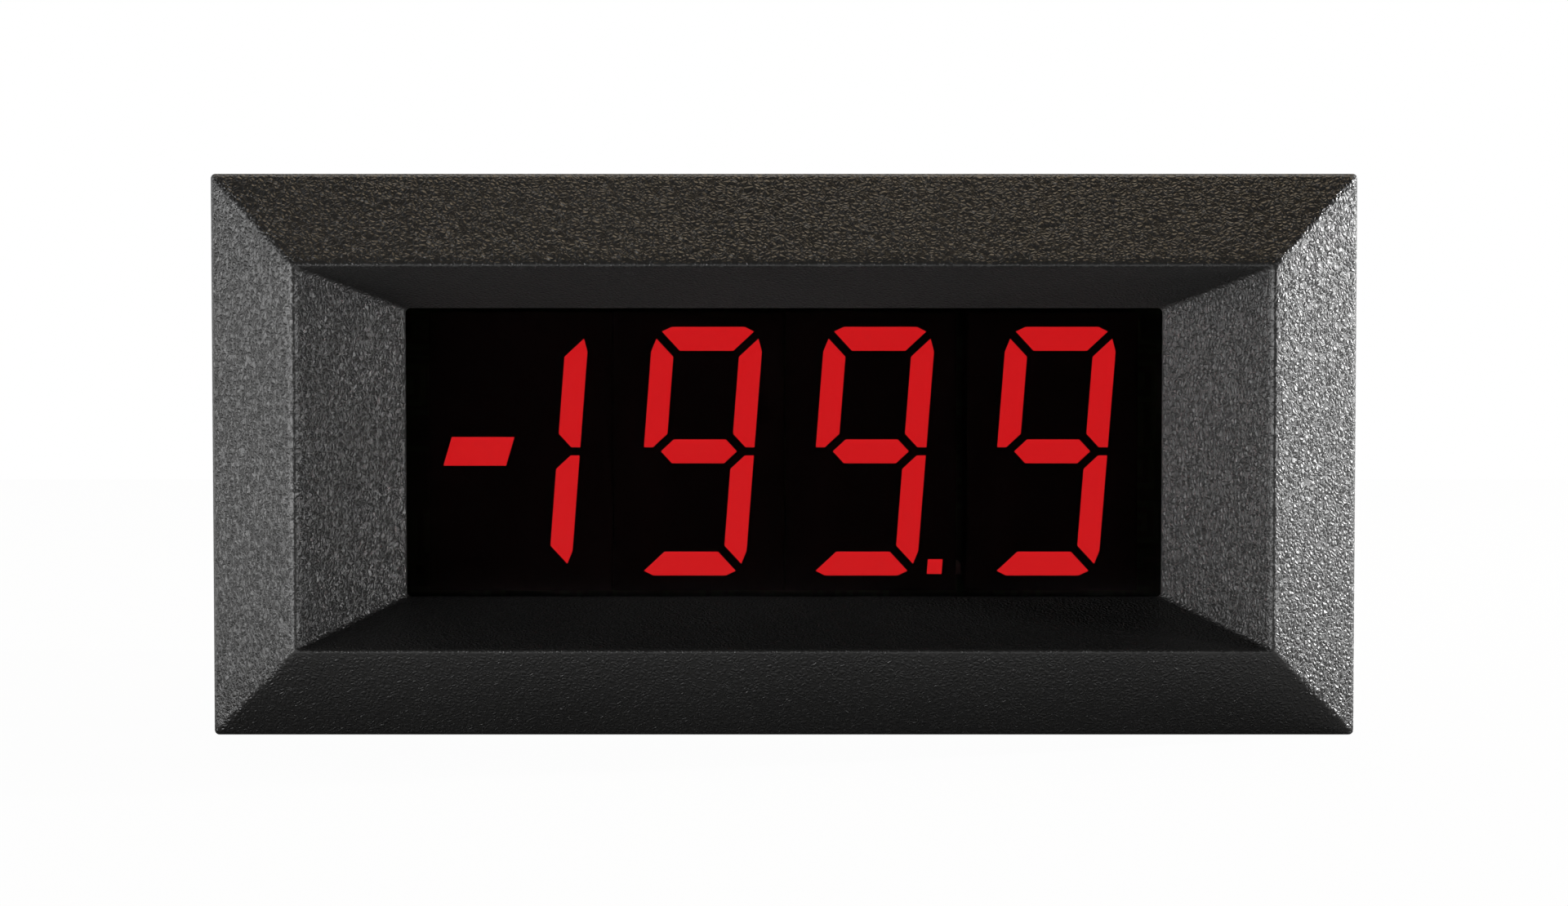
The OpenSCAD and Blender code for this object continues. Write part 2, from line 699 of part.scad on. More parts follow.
// Thickness of a sloping wall, measured level, from its run over its fall.
function level_wall(run, fall) = bezel_wall * sqrt(1 + pow(run / fall, 2));
groove_y = ridge_y + ridge_wall;
recess_at_groove = mix(ridge_point, view_point, ridge_wall / inner_slope[2]);
groove_inner = [
    recess_at_groove[0] + level_wall(inner_slope[0], inner_slope[2]),
    recess_at_groove[1] + level_wall(inner_slope[1], inner_slope[2]),
    groove_y
];
pocket_half = [window_w / 2 + window_fit, window_h / 2 + window_fit];
function frame_point(half, grow, y) = [half[0] + grow, half[1] + grow, y];
case_half = [case_w / 2, case_h / 2];
skirt_half = [skirt_x, skirt_z];
bezel_section = concat(
    [
        [half_w, half_h, 0],
        [half_w, half_h, edge_break - bezel_edge_t],
        edge_point - outer_slope * edge_break / outer_bevel_w
    ],
    [for (s = [0 : ridge_steps]) ridge_at(s / ridge_steps)],
    [
        view_point,
        [view_w / 2, view_h / 2, window_y],
        frame_point(pocket_half, 0, window_y),
        frame_point(pocket_half, 0, pocket_back),
        frame_point(pocket_half, pocket_wall, pocket_back),
        groove_inner,
        frame_point(case_half, -seat_lap, groove_y),
        frame_point(case_half, -seat_lap, case_front),
        frame_point(skirt_half, -bezel_wall, case_front),
        frame_point(skirt_half, -bezel_wall, skirt_len),
        frame_point(skirt_half, 0, skirt_len),
        frame_point(skirt_half, 0, 0)
    ]
);

module bezel() color(bezel_colour) difference() {
    intersection() {
        mitred_ring(bezel_section);
        along_y(ridge_y - past, skirt_len + past) rounded_rect(bezel_w, bezel_h, bezel_corner_r);
    }
    latch_windows();
}

// Windows in the skirt that the case's barbs snap into.
module latch_windows() {
    for (x = sides, z = sides) {
        mid = x * latch_x;
        reach = [skirt_z - bezel_wall - past, skirt_z + past];
        block(
            [mid - latch_w / 2 - latch_fit, latch_back - latch_len - latch_fit, min(z * reach)],
            [mid + latch_w / 2 + latch_fit, latch_back + latch_fit, max(z * reach)]
        );
    }
}

module window_filter() color("#3a0d10", 0.8) {
    block([-window_w / 2, window_y, -window_h / 2], [window_w / 2, window_back, window_h / 2]);
}

module case_tube() color(case_colour) difference() {
    union() {
        difference() {
            along_y(case_front, case_back) rounded_rect(case_w, case_h, case_edge_r);
            along_y(case_front - past, case_back + past) square([inner_w, inner_h], center = true);
            case_vent_slots();
        }
        latch_barbs();
        board_guides();
        for (x = sides) {
            clamp_rail(x);
            rod_y(x * boss_x, boss_z, case_back - boss_len, case_back, boss_d);
        }
    }
    for (x = sides)
        rod_y(x * boss_x, boss_z, case_back - cover_screw_len, case_back + past, cover_screw_d);
}

module latch_barbs() {
    for (x = sides, z = sides)
        translate([x * latch_x - latch_w / 2, 0, 0]) rotate([90, 0, 90]) linear_extrude(latch_w)
            polygon([
                [latch_back - latch_len, z * (case_h / 2 - case_wall / 2)],
                [latch_back, z * (case_h / 2 - case_wall / 2)],
                [latch_back, z * (case_h / 2 + latch_h)],
                [latch_back - latch_len, z * case_h / 2]
            ]);
}

module case_vent_slots() {
    for (i = [0 : case_vents - 1], z = sides) {
        x = (i - (case_vents - 1) / 2) * case_vent_pitch;
        reach = [inner_h / 2 - past, case_h / 2 + past];
        block(
            [x - vent_w / 2, case_vent_front, min(z * reach)],
            [x + vent_w / 2, case_vent_front + case_vent_len, max(z * reach)]
        );
    }
}

// Ribs along both inner sides, which hold the main board's edges.
module board_guides() {
    for (x = sides, z = [board_top + guide_fit, board_bottom - guide_fit - guide_t]) {
        reach = [inner_w / 2 - guide_reach, inner_w / 2 + case_wall / 2];
        block([min(x * reach), main_board_y, z], [max(x * reach), main_board_back, z + guide_t]);
    }
}

// T-shaped rail with a row of ratchet teeth, for one panel clamp.
module clamp_rail(side) {
    mirror([side < 0 ? 1 : 0, 0, 0]) {
        block([inner_w / 2 + case_wall / 2, rail_front, -rail_web / 2],
            [head_x + rail_head_t / 2, rail_back, rail_web / 2]);
        block([head_x, rail_front, -rail_head / 2], [teeth_x, rail_back, rail_head / 2]);
        teeth = floor((rail_back - rail_front) / tooth_pitch);
        translate([0, 0, -tooth_w / 2]) linear_extrude(tooth_w)
            polygon(concat(
                [[head_x, rail_front]],
                [for (i = [0 : teeth - 1]) each [
                    [teeth_x, rail_front + i * tooth_pitch],
                    [crest_x, rail_front + (i + 1) * tooth_pitch]
                ]],
                [[head_x, rail_front + teeth * tooth_pitch]]
            ));
    }
}

module rear_cover() color(case_colour) difference() {
    union() {
        along_y(case_back, cover_back) rounded_rect(case_w, case_h, case_edge_r);
        for (z = sides) {
            reach = [inner_h / 2 - tab_fit - tab_t, inner_h / 2 - tab_fit];
            block([-tab_w / 2, case_back - tab_len, min(z * reach)],
                [tab_w / 2, case_back + cover_t / 2, max(z * reach)]);
        }
    }
    block(
        [terminal_x - header_w / 2 - header_gap, case_back - past, board_top - header_gap],
        [terminal_x + header_w / 2 + header_gap, cover_back + past, board_top + header_h + header_gap]
    );
    rod_y(trimmer_x, board_top + trimmer_screw_z, case_back - past, cover_back + past, access_d);
    for (x = sides) {
        rod_y(x * boss_x, boss_z, case_back - past, cover_back + past,
            cover_screw_d + 2 * cover_screw_gap);
        rod_y(x * boss_x, boss_z, cover_back - cover_sink, cover_back + past,
            cover_head_d + 2 * cover_head_gap);
    }
    for (i = [0 : cover_vents - 1]) {
        x = cover_vent_x + (i - (cover_vents - 1) / 2) * cover_vent_pitch;
        block([x - vent_w / 2, case_back - past, -cover_vent_len / 2],
            [x + vent_w / 2, cover_back + past, cover_vent_len / 2]);
    }
}

module cover_screws() color(metal_colour) {
    seat = cover_back - cover_sink;
    for (x = sides) difference() {
        union() {
            rod_y(x * boss_x, boss_z, case_back - cover_screw_len, seat + cover_head_t / 2,
                cover_screw_d);
            translate([x * boss_x, seat, boss_z]) rotate([-90, 0, 0])
                rotate_extrude($fn = round_fn) polygon([
                    [0, 0],
                    [cover_head_d / 2, 0],
                    [cover_head_d / 2, cover_head_rim],
                    [cover_head_d / 2 - cover_head_t + cover_head_rim, cover_head_t],
                    [0, cover_head_t]
                ]);
        }
        cross_recess(x * boss_x, boss_z, seat + cover_head_t);
    }
}

// Cross recess in a screw head that faces back.
module cross_recess(x, z, top) {
    for (half = [[cross_len / 2, cross_w / 2], [cross_w / 2, cross_len / 2]])
        block([x - half[0], top - cross_depth, z - half[1]], [x + half[0], top + past, z + half[1]]);
}

// Segment outlines, upright, about the digit's middle.
function flip_x(outline) = [for (p = outline) [-p[0], p[1]]];
function flip_z(outline) = [for (p = outline) [p[0], -p[1]]];
level_end = seg_w - upright_t - mitre;
upright_end = seg_h - level_t - mitre;
segment_a = [
    [-level_end, seg_h - level_t],
    [-level_end - level_t + level_drop, seg_h - level_drop],
    [-seg_w + level_corner, seg_h],
    [seg_w - level_corner, seg_h],
    [level_end + level_t - level_drop, seg_h - level_drop],
    [level_end, seg_h - level_t]
];
segment_b = [
    [seg_w - upright_t, upright_end],
    [seg_w - upright_tip, upright_end + upright_t - upright_tip],
    [seg_w, seg_h - upright_corner],
    [seg_w, waist_gap / 2],
    [seg_w - upright_foot, waist_gap / 2],
    [seg_w - upright_t, waist_gap / 2 + upright_t - upright_foot]
];
middle_tip = seg_w - upright_t / 2 - mitre;
segment_g = [for (s = sides) each [
    [-s * (middle_tip - level_t / 2), s * level_t / 2],
    [s * (middle_tip - level_t / 2), s * level_t / 2],
    [s * middle_tip, 0]
]];
segment_c = flip_z(segment_b);
segment_d = flip_z(segment_a);
segment_e = flip_x(segment_c);
segment_f = flip_x(segment_b);
point_low = point_z - seg_h;
decimal_point = [
    [point_x - point_size / 2, point_low],
    [point_x + point_size / 2, point_low],
    [point_x + point_size / 2, point_low + point_size],
    [point_x - point_size / 2, point_low + point_size]
];
minus_sign = [for (c = [[-1, -1], [1, -1], [1, 1], [-1, 1]])
    [sign_x + c[0] * sign_w / 2 + c[1] * tan(sign_lean) * sign_h / 2, c[1] * sign_h / 2]];

nine = [segment_a, segment_b, segment_c, segment_d, segment_f, segment_g];
one = [segment_b, segment_c];
// The digits lean to the right, and the minus sign stands level.
function lean(outline) = [for (p = outline) [p[0] + p[1] * tan(digit_lean), p[1]]];

// Light chambers: the outlines given, run back from the module's face.
module chambers(place, outlines, front, back) {
    translate([place, 0, 0])
        for (outline = outlines) along_y(front, back) polygon(outline);
}

digit_chambers = [for (s = concat(nine, [segment_e, decimal_point])) lean(s)];
half_chambers = concat([for (s = one) lean(s)], [minus_sign]);

// A display module's shell, with its chambers cut in and feet that stand it off the board.
module display_module(middle, w, place, outlines) {
    back = module_y + module_depth;
    color("#141414") {
        difference() {
            block([middle - w / 2, module_y, -module_h / 2], [middle + w / 2, back, module_h / 2]);
            chambers(place, outlines, module_y - past, module_y + segment_depth);
        }
        for (x = sides, z = sides)
            rod_y(middle + x * (w / 2 - module_foot_inset), z * module_foot_z,
                back, back + module_foot, module_foot_d);
    }
}

module half_digit_module() {
    place = digit_places[0];
    display_module(place - half_digit_shift, half_module_w, place, half_chambers);
}

module digit_module(i) {
    display_module(digit_places[i], module_w, digit_places[i], digit_chambers);
}

module segments(place, outlines, tint) {
    color(tint) chambers(place, outlines, module_y, module_y + segment_depth);
}

module lit_sign_and_one() segments(digit_places[0], half_chambers, "#c8181b");

// The middle digit's decimal point is lit.
module lit_segments(i) {
    lit = i == 2 ? concat(nine, [decimal_point]) : nine;
    segments(digit_places[i], [for (s = lit) lean(s)], "#c8181b");
}

module unlit_segments() {
    for (i = [1:3]) {
        dark = i == 2 ? [segment_e] : [segment_e, decimal_point];
        segments(digit_places[i], [for (s = dark) lean(s)], "#1d1515");
    }
}

// Middles of the four modules, and the places of their leads.
module_middles = [digit_places[0] - half_digit_shift, digit_places[1], digit_places[2], digit_places[3]];
lead_spots = [for (m = module_middles, i = [0 : leads_per_row - 1], z = sides)
    [m + (i - (leads_per_row - 1) / 2) * lead_pitch, z * lead_rows / 2]];
link_places = [for (i = [0 : link_pins - 1]) (i - (link_pins - 1) / 2) * link_pitch];

module display_leads() color(metal_colour) {
    for (s = lead_spots)
        rod_y(s[0], s[1], module_y + module_depth, main_board_y + lead_tail, lead_d);
}

module display_board() color(board_colour) difference() {
    block([-display_board_w / 2, display_board_y, -display_board_h / 2],
        [display_board_w / 2, main_board_y, display_board_h / 2]);
    for (s = lead_spots)
        rod_y(s[0], s[1], display_board_y - past, main_board_y + past, lead_d + 2 * hole_gap);
    for (x = link_places)
        rod_y(x, link_z, display_board_y - past, main_board_y + past,
            link_pin_w * sqrt(2) + 2 * hole_gap);
}

// Strip that holds the right-angled pins between the boards.
module link_strip() color("#161616") difference() {
    block([-link_pins * link_pitch / 2, link_y, board_top],
        [link_pins * link_pitch / 2, link_y + link_strip, board_top + link_strip]);
    for (x = link_places) link_pin(x);
}

module link_pins() color(metal_colour) {
    for (x = link_places) link_pin(x);
}

link_bend = link_y + link_strip + link_pin_w;
module link_pin(x) {
    r = link_pin_w / 2;
    block([x - r, display_board_y - pin_tail, link_z - r], [x + r, link_bend + r, link_z + r]);
    block([x - r, link_bend - r, board_bottom - pin_tail], [x + r, link_bend + r, link_z + r]);
}

module main_board() color(board_colour) difference() {
    block([-main_board_w / 2, main_board_y, board_bottom],
        [main_board_w / 2, main_board_back, board_top]);
    for (x = link_places)
        board_hole(x, link_bend, link_pin_w * sqrt(2) + 2 * hole_gap);
    for (i = [1:poles])
        board_hole(pole_x(i), header_leg_y, pin_w * sqrt(2) + 2 * hole_gap);
    for (y = resistor_places, x = sides)
        board_hole(resistor_x + x * resistor_leg, y, resistor_wire_d + 2 * hole_gap);
}

module board_hole(x, y, d) {
    translate([x, y, board_bottom - past]) cylinder(h = board_t + 2 * past, d = d, $fn = round_fn);
}

module converter_chip() color("#202020") {
    low = board_top + chip_stand;
    translate([chip_x, chip_y, low]) difference() {
        translate([-chip_w / 2, -chip_w / 2, 0]) cube([chip_w, chip_w, chip_t]);
        inset = chip_dimple_inset - chip_w / 2;
        translate([inset, inset, chip_t - chip_dimple_depth])
            cylinder(h = past, d = chip_dimple_d, $fn = round_fn);
    }
}

// Gull-wing leads: out of the body, down, and a foot flat on the board.
module chip_leads() color(metal_colour) {
    t = chip_lead_t;
    top = chip_stand + chip_t / 2;
    knee = chip_knee;
    for (turn = [0, 90, 180, 270], i = [0 : chip_leads_side - 1])
        translate([chip_x, chip_y, board_top]) rotate([0, 0, turn])
            translate([chip_w / 2, (i - (chip_leads_side - 1) / 2) * chip_lead_pitch, 0])
                rotate([90, 0, 0]) translate([0, 0, -chip_lead_w / 2]) linear_extrude(chip_lead_w)
                    polygon([
                        [0, top], [knee, top], [knee + t, t], [chip_lead_reach, t],
                        [chip_lead_reach, 0], [knee, 0], [knee - t, top - t], [0, top - t]
                    ]);
}

module film_capacitors() color("#b8902f") {
    for (i = [0 : film_count - 1])
        translate([film_x + i * film_pitch, chip_y, board_top])
            translate([-film_w / 2, -film_len / 2, 0]) cube([film_w, film_len, film_h]);
}

// Aluminium can with a beaded foot, standing on the board.
module electrolytic_capacitor() color("#23304f") {
    r = can_d / 2;
    waist = r - can_bead;
    middle = can_groove_z + can_groove_w / 2;
    translate([can_inset - main_board_w / 2, chip_y, board_top]) rotate_extrude($fn = round_fn)
        polygon([
            [0, 0], [r, 0], [r, can_groove_z],
            [waist, middle - can_groove_floor / 2], [waist, middle + can_groove_floor / 2],
            [r, can_groove_z + can_groove_w], [r, can_h - can_bead], [waist, can_h],
            [waist - can_bead, can_h], [waist - can_bead, can_h - can_rim], [0, can_h - can_rim]
        ]);
}

// Surface-mounted regulator with a cooling tab and three legs.
module voltage_regulator() color("#202020") {
    w = regulator_w / 2;
    len = regulator_len / 2;
    t = regulator_metal_t;
    tab = regulator_tab_w / 2;
    leg = regulator_leg_w / 2;
    translate([regulator_inset - main_board_w / 2, regulator_y, board_top]) {
        block([-w, -len, regulator_stand], [w, len, regulator_stand + regulator_h]);
        block([-tab, len, 0], [tab, len + regulator_tab_len, t]);
        for (x = [-1, 0, 1] * regulator_leg_pitch)
            block([x - leg, -len - regulator_leg_len, 0], [x + leg, -len, t]);
    }
}

resistor_places = [for (i = [0 : resistor_count - 1]) resistor_y + i * resistor_pitch];
resistor_leg = resistor_len / 2 + resistor_bend;
resistor_x = main_board_w / 2 - resistor_inset;

// Axial resistors: waisted bodies on wires bent down through the board.
module resistors() color("#c8b088") {
    bulge = resistor_d / 2;
    waist = bulge - resistor_waist;
    cap = resistor_cap_len;
    slope_end = resistor_cap_len + resistor_slope;
    axis_z = board_top + bulge;
    r = resistor_wire_d / 2;
    for (y = resistor_places) translate([resistor_x, y, 0]) {
        translate([0, 0, axis_z]) rotate([0, 90, 0]) translate([0, 0, -resistor_len / 2])
            rotate_extrude($fn = round_fn) polygon([
                [0, 0], [bulge - resistor_edge, 0], [bulge, resistor_edge], [bulge, cap],
                [waist, slope_end], [waist, resistor_len - slope_end],
                [bulge, resistor_len - cap], [bulge, resistor_len - resistor_edge],
                [bulge - resistor_edge, resistor_len], [0, resistor_len]
            ]);
        for (x = sides) {
            translate([x * resistor_leg, 0, axis_z]) sphere(r, $fn = round_fn);
            translate([x > 0 ? resistor_len / 2 - r : -resistor_leg, 0, axis_z]) rotate([0, 90, 0])
                cylinder(h = resistor_leg - resistor_len / 2 + r, r = r, $fn = round_fn);
            translate([x * resistor_leg, 0, board_bottom - pin_tail])
                cylinder(h = axis_z - board_bottom + pin_tail, r = r, $fn = round_fn);
        }
    }
}

trimmer_back = case_back - trimmer_gap - trimmer_stand;
trimmer_axis_z = board_top + trimmer_screw_z;

module trimmer_body() color("#2456a8") difference() {
    block([trimmer_x - trimmer_w / 2, trimmer_back - trimmer_len, board_top],
        [trimmer_x + trimmer_w / 2, trimmer_back, board_top + trimmer_h]);
    rod_y(trimmer_x, trimmer_axis_z, trimmer_back - trimmer_bore, trimmer_back + past,
        trimmer_screw_d + 2 * trimmer_fit);
}

module trimmer_screw() color("#c9a24a") difference() {
    rod_y(trimmer_x, trimmer_axis_z, trimmer_back - trimmer_bore + trimmer_fit,
        trimmer_back + trimmer_stand, trimmer_screw_d);
    tip = trimmer_back + trimmer_stand;
    half = trimmer_slot_w / 2;
    block([trimmer_x - trimmer_screw_d, tip - trimmer_slot_depth, trimmer_axis_z - half],
        [trimmer_x + trimmer_screw_d, tip + past, trimmer_axis_z + half]);
}

function pole_x(i) = terminal_x + (i - (poles + 1) / 2) * pole_pitch;
header_leg_y = header_y - pin_setback - pin_w / 2;

// Shroud on the board that the plug's nose enters from behind.
module terminal_header() color(terminal_colour) difference() {
    block([terminal_x - header_w / 2, header_y, board_top],
        [terminal_x + header_w / 2, cover_back, board_top + header_h]);
    block([terminal_x - cavity_w / 2, cavity_y, pin_z - cavity_h / 2],
        [terminal_x + cavity_w / 2, cover_back + past, pin_z + cavity_h / 2]);
    for (i = [1:poles]) {
        slot = guide_rib_w / 2 + guide_rib_fit;
        block([pole_x(i) - slot, cavity_y, pin_z],
            [pole_x(i) + slot, cover_back + past, pin_z + nose_h / 2 + guide_rib_h + guide_rib_fit]);
        header_pin(i);
    }
}

module header_pins() color(metal_colour) {
    for (i = [1:poles]) header_pin(i);
}

module header_pin(i) {
    r = pin_w / 2;
    x = pole_x(i);
    block([x - r, header_leg_y - r, pin_z - r], [x + r, cover_back - pin_recess, pin_z + r]);
    block([x - r, header_leg_y - r, board_bottom - pin_tail], [x + r, header_leg_y + r, pin_z + r]);
}

// Plug housing: nose with guide ribs, and for each pole a contact chamber, a cage well, a wire
// entry and a screw well with the shoulder that keeps the screw in.
module plug_body() color(terminal_colour) difference() {
    union() {
        block([terminal_x - nose_w / 2, nose_y, pin_z - nose_h / 2],
            [terminal_x + nose_w / 2, plug_y + past, pin_z + nose_h / 2]);
        block([terminal_x - header_w / 2, plug_y, pin_z - plug_bottom],
            [terminal_x + header_w / 2, plug_back, pin_z + plug_top]);
        for (i = [1:poles])
            block([pole_x(i) - guide_rib_w / 2, nose_y, pin_z],
                [pole_x(i) + guide_rib_w / 2, plug_y + past, pin_z + nose_h / 2 + guide_rib_h]);
    }
    for (i = [1:poles]) translate([pole_x(i), 0, pin_z]) pole_cuts();
    for (i = [1 : poles - 1]) translate([pole_x(i + 0.5), 0, pin_z]) pole_grooves();
}

module pole_cuts() {
    pin_entry = pin_w / 2 + pin_entry_gap;
    well = cage_w / 2 + cage_fit;
    bar = contact_w / 2;
    block([-pin_entry, nose_y - past, -pin_entry], [pin_entry, nose_y + nose_wall + past, pin_entry]);
    block([-chamber_w / 2, nose_y + nose_wall, -chamber_h / 2],
        [chamber_w / 2, well_y + past, chamber_h / 2]);
    block([-well, well_y, cage_floor - cage_fit], [well, well_back, shoulder_z]);
    block([-bar, well_y, -bar_t / 2], [bar, well_back + bar_t, bar_t / 2]);
    block([-entry_w / 2, well_back - past, -bar_t / 2 - wire_room],
        [entry_w / 2, plug_back + past, -bar_t / 2]);
    translate([0, screw_y, shoulder_z - past])
        cylinder(h = shoulder_t + 2 * past, d = screw_d + 2 * screw_fit, $fn = round_fn);
    translate([0, screw_y, shoulder_z + shoulder_t])
        cylinder(h = plug_top, d = head_d + 2 * head_fit, $fn = round_fn);
}

// Shallow grooves over the top and down the back, between neighbouring poles.
module pole_grooves() {
    w = pole_groove_w / 2;
    block([-w, plug_y - past, plug_top - pole_groove], [w, plug_back + past, plug_top + past]);
    block([-w, plug_back - pole_groove, -plug_bottom - past], [w, plug_back + past, plug_top + past]);
}

// Contacts: two spring leaves round the pin, a root held by the chamber, and a clamping bar.
module plug_contacts() color(metal_colour) {
    for (i = [1:poles]) translate([pole_x(i), 0, pin_z]) {
        w = contact_w / 2;
        inner = pin_w / 2 + leaf_fit;
        root_back = root_y + contact_root;
        for (z = sides) {
            reach = [inner, inner + leaf_t];
            block([-w, leaf_y, min(z * reach)], [w, root_y, max(z * reach)]);
        }
        block([-chamber_w / 2, root_y, -chamber_h / 2], [chamber_w / 2, root_back, chamber_h / 2]);
        block([-w, root_back, -bar_t / 2], [w, well_back + bar_t, bar_t / 2]);
    }
}

// Terminal screw, standing on the shoulder, with its slotted head up.
module terminal_screw(i) color(metal_colour) translate([pole_x(i), screw_y, pin_z]) difference() {
    union() {
        translate([0, 0, shank_tip])
            cylinder(h = head_z - shank_tip + head_t / 2, d = screw_d, $fn = round_fn);
        translate([0, 0, head_z]) cylinder(h = head_t, d = head_d, $fn = round_fn);
    }
    block([-head_d, -slot_w / 2, head_z + head_t - slot_depth],
        [head_d, slot_w / 2, head_z + head_t + past]);
}

// Wire cage: a square loop round the clamping bar, with a threaded top that the screw raises.
module wire_cage(i) color("#b9bcc2") translate([pole_x(i), screw_y, pin_z]) difference() {
    block([-cage_w / 2, -cage_len / 2, cage_floor], [cage_w / 2, cage_len / 2, cage_top]);
    window = cage_w / 2 - cage_wall;
    block([-window, -cage_len, cage_floor + cage_floor_t], [window, cage_len, cage_top - cage_top_t]);
    cylinder(h = cage_top + past, d = screw_d + 2 * screw_fit, $fn = round_fn);
}

// Panel clamp for the right side: a foot on an arm beside the skirt, a carriage with lips round
// the rail's head, and a springy tongue whose nose clicks over the teeth.
module clamp_at_right() {
    half = clamp_w / 2;
    arm_x = clamp_x - clamp_arm_t;
    lip_x = head_x - lip_fit;
    back = carriage_y + clamp_len;
    tongue_y = back - tongue_slot - tongue_len;
    tongue_x = channel_x + tongue_relief;
    rib_y = carriage_y + grip_start;
    color("#262626") {
        difference() {
            union() {
                block([arm_x, clamp_rest, -half], [clamp_x, carriage_y + past, half]);
                block([case_w / 2 + lip_gap, carriage_y, -half], [clamp_x, back, half]);
                for (i = [0 : grip_ribs - 1])
                    block([clamp_x - past, rib_y + i * grip_pitch, -half],
                        [clamp_x + grip_h, rib_y + i * grip_pitch + grip_w, half]);
            }
            block([head_x - lip_fit, carriage_y - past, -rail_head / 2 - clamp_fit],
                [channel_x, back + past, rail_head / 2 + clamp_fit]);
            block([case_w / 2, carriage_y - past, -rail_web / 2 - clamp_fit],
                [head_x, back + past, rail_web / 2 + clamp_fit]);
            for (z = sides) {
                reach = [tongue_w / 2, tongue_w / 2 + tongue_slot];
                block([channel_x - past, tongue_y, min(z * reach)],
                    [clamp_x + grip_h + past, back - tongue_slot, max(z * reach)]);
            }
            block([channel_x - past, back - 2 * tongue_slot, -tongue_w / 2],
                [clamp_x + grip_h + past, back - tongue_slot, tongue_w / 2]);
            block([tongue_x + tongue_t, tongue_y, -tongue_w / 2 - tongue_slot],
                [clamp_x + grip_h + past, back - tongue_slot, tongue_w / 2 + tongue_slot]);
        }
        translate([0, 0, -tooth_w / 2]) linear_extrude(tooth_w) polygon([
            [crest_x + nose_gap, back - 2 * tongue_slot - nose_len / 2],
            [tongue_x + tongue_t / 2, back - 2 * tongue_slot - nose_len],
            [tongue_x + tongue_t / 2, back - 2 * tongue_slot],
            [crest_x + nose_gap, back - 2 * tongue_slot]
        ]);
    }
}

module clamp_right() clamp_at_right();
module clamp_left() mirror([1, 0, 0]) clamp_at_right();

bezel();
window_filter();
case_tube();
rear_cover();
cover_screws();
half_digit_module();
for (i = [1:3]) {
    digit_module(i);
    lit_segments(i);
}
lit_sign_and_one();
unlit_segments();
display_leads();
display_board();
link_strip();
link_pins();
main_board();
converter_chip();
chip_leads();
film_capacitors();
electrolytic_capacitor();
voltage_regulator();
resistors();
trimmer_body();
trimmer_screw();
terminal_header();
header_pins();
plug_body();
plug_contacts();
for (i = [1:poles]) {
    terminal_screw(i);
    wire_cage(i);
}
clamp_left();
clamp_right();
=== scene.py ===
"""Looks of the digital panel meter: its plastics, display, boards, terminals, lamps and camera."""

import logging
import math
from dataclasses import dataclass
from enum import Enum
from typing import Sequence

import bmesh
import bpy
import numpy as np
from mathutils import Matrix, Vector


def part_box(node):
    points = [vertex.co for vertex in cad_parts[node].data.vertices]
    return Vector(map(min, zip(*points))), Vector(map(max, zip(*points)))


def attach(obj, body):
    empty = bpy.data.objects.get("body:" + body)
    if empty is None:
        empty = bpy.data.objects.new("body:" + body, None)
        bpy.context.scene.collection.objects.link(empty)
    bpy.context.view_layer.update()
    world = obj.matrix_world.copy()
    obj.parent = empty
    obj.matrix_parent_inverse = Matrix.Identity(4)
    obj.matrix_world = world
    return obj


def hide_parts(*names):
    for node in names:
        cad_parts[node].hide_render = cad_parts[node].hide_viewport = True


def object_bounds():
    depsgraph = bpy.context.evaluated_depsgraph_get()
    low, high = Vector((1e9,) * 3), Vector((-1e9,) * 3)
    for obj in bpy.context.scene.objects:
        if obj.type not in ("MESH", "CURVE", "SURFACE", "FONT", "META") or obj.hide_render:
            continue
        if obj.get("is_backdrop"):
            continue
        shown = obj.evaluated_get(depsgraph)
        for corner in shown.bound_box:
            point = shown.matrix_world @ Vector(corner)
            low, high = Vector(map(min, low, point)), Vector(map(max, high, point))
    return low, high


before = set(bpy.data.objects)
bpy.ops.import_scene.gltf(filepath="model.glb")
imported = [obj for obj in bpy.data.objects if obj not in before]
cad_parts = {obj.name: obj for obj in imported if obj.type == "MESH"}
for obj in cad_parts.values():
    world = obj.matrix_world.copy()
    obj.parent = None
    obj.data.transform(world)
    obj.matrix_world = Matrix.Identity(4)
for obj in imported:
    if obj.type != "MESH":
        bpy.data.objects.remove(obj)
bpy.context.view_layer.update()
MM = 0.001
LOG = logging.getLogger("panel_meter")

Colour = tuple[float, float, float]
Place = tuple[float, float, float]
Pair = tuple[float, float]
Socket = bpy.types.NodeSocket


class Grain(Enum):
    """How the mould's surface was finished, as the size and depth of its grain in metres."""

    LEATHER = (0.30 * MM, 0.085 * MM)
    SPARK = (0.16 * MM, 0.03 * MM)
    SATIN = (0.06 * MM, 0.004 * MM)


# ---------------------------------------------------------------- node trees


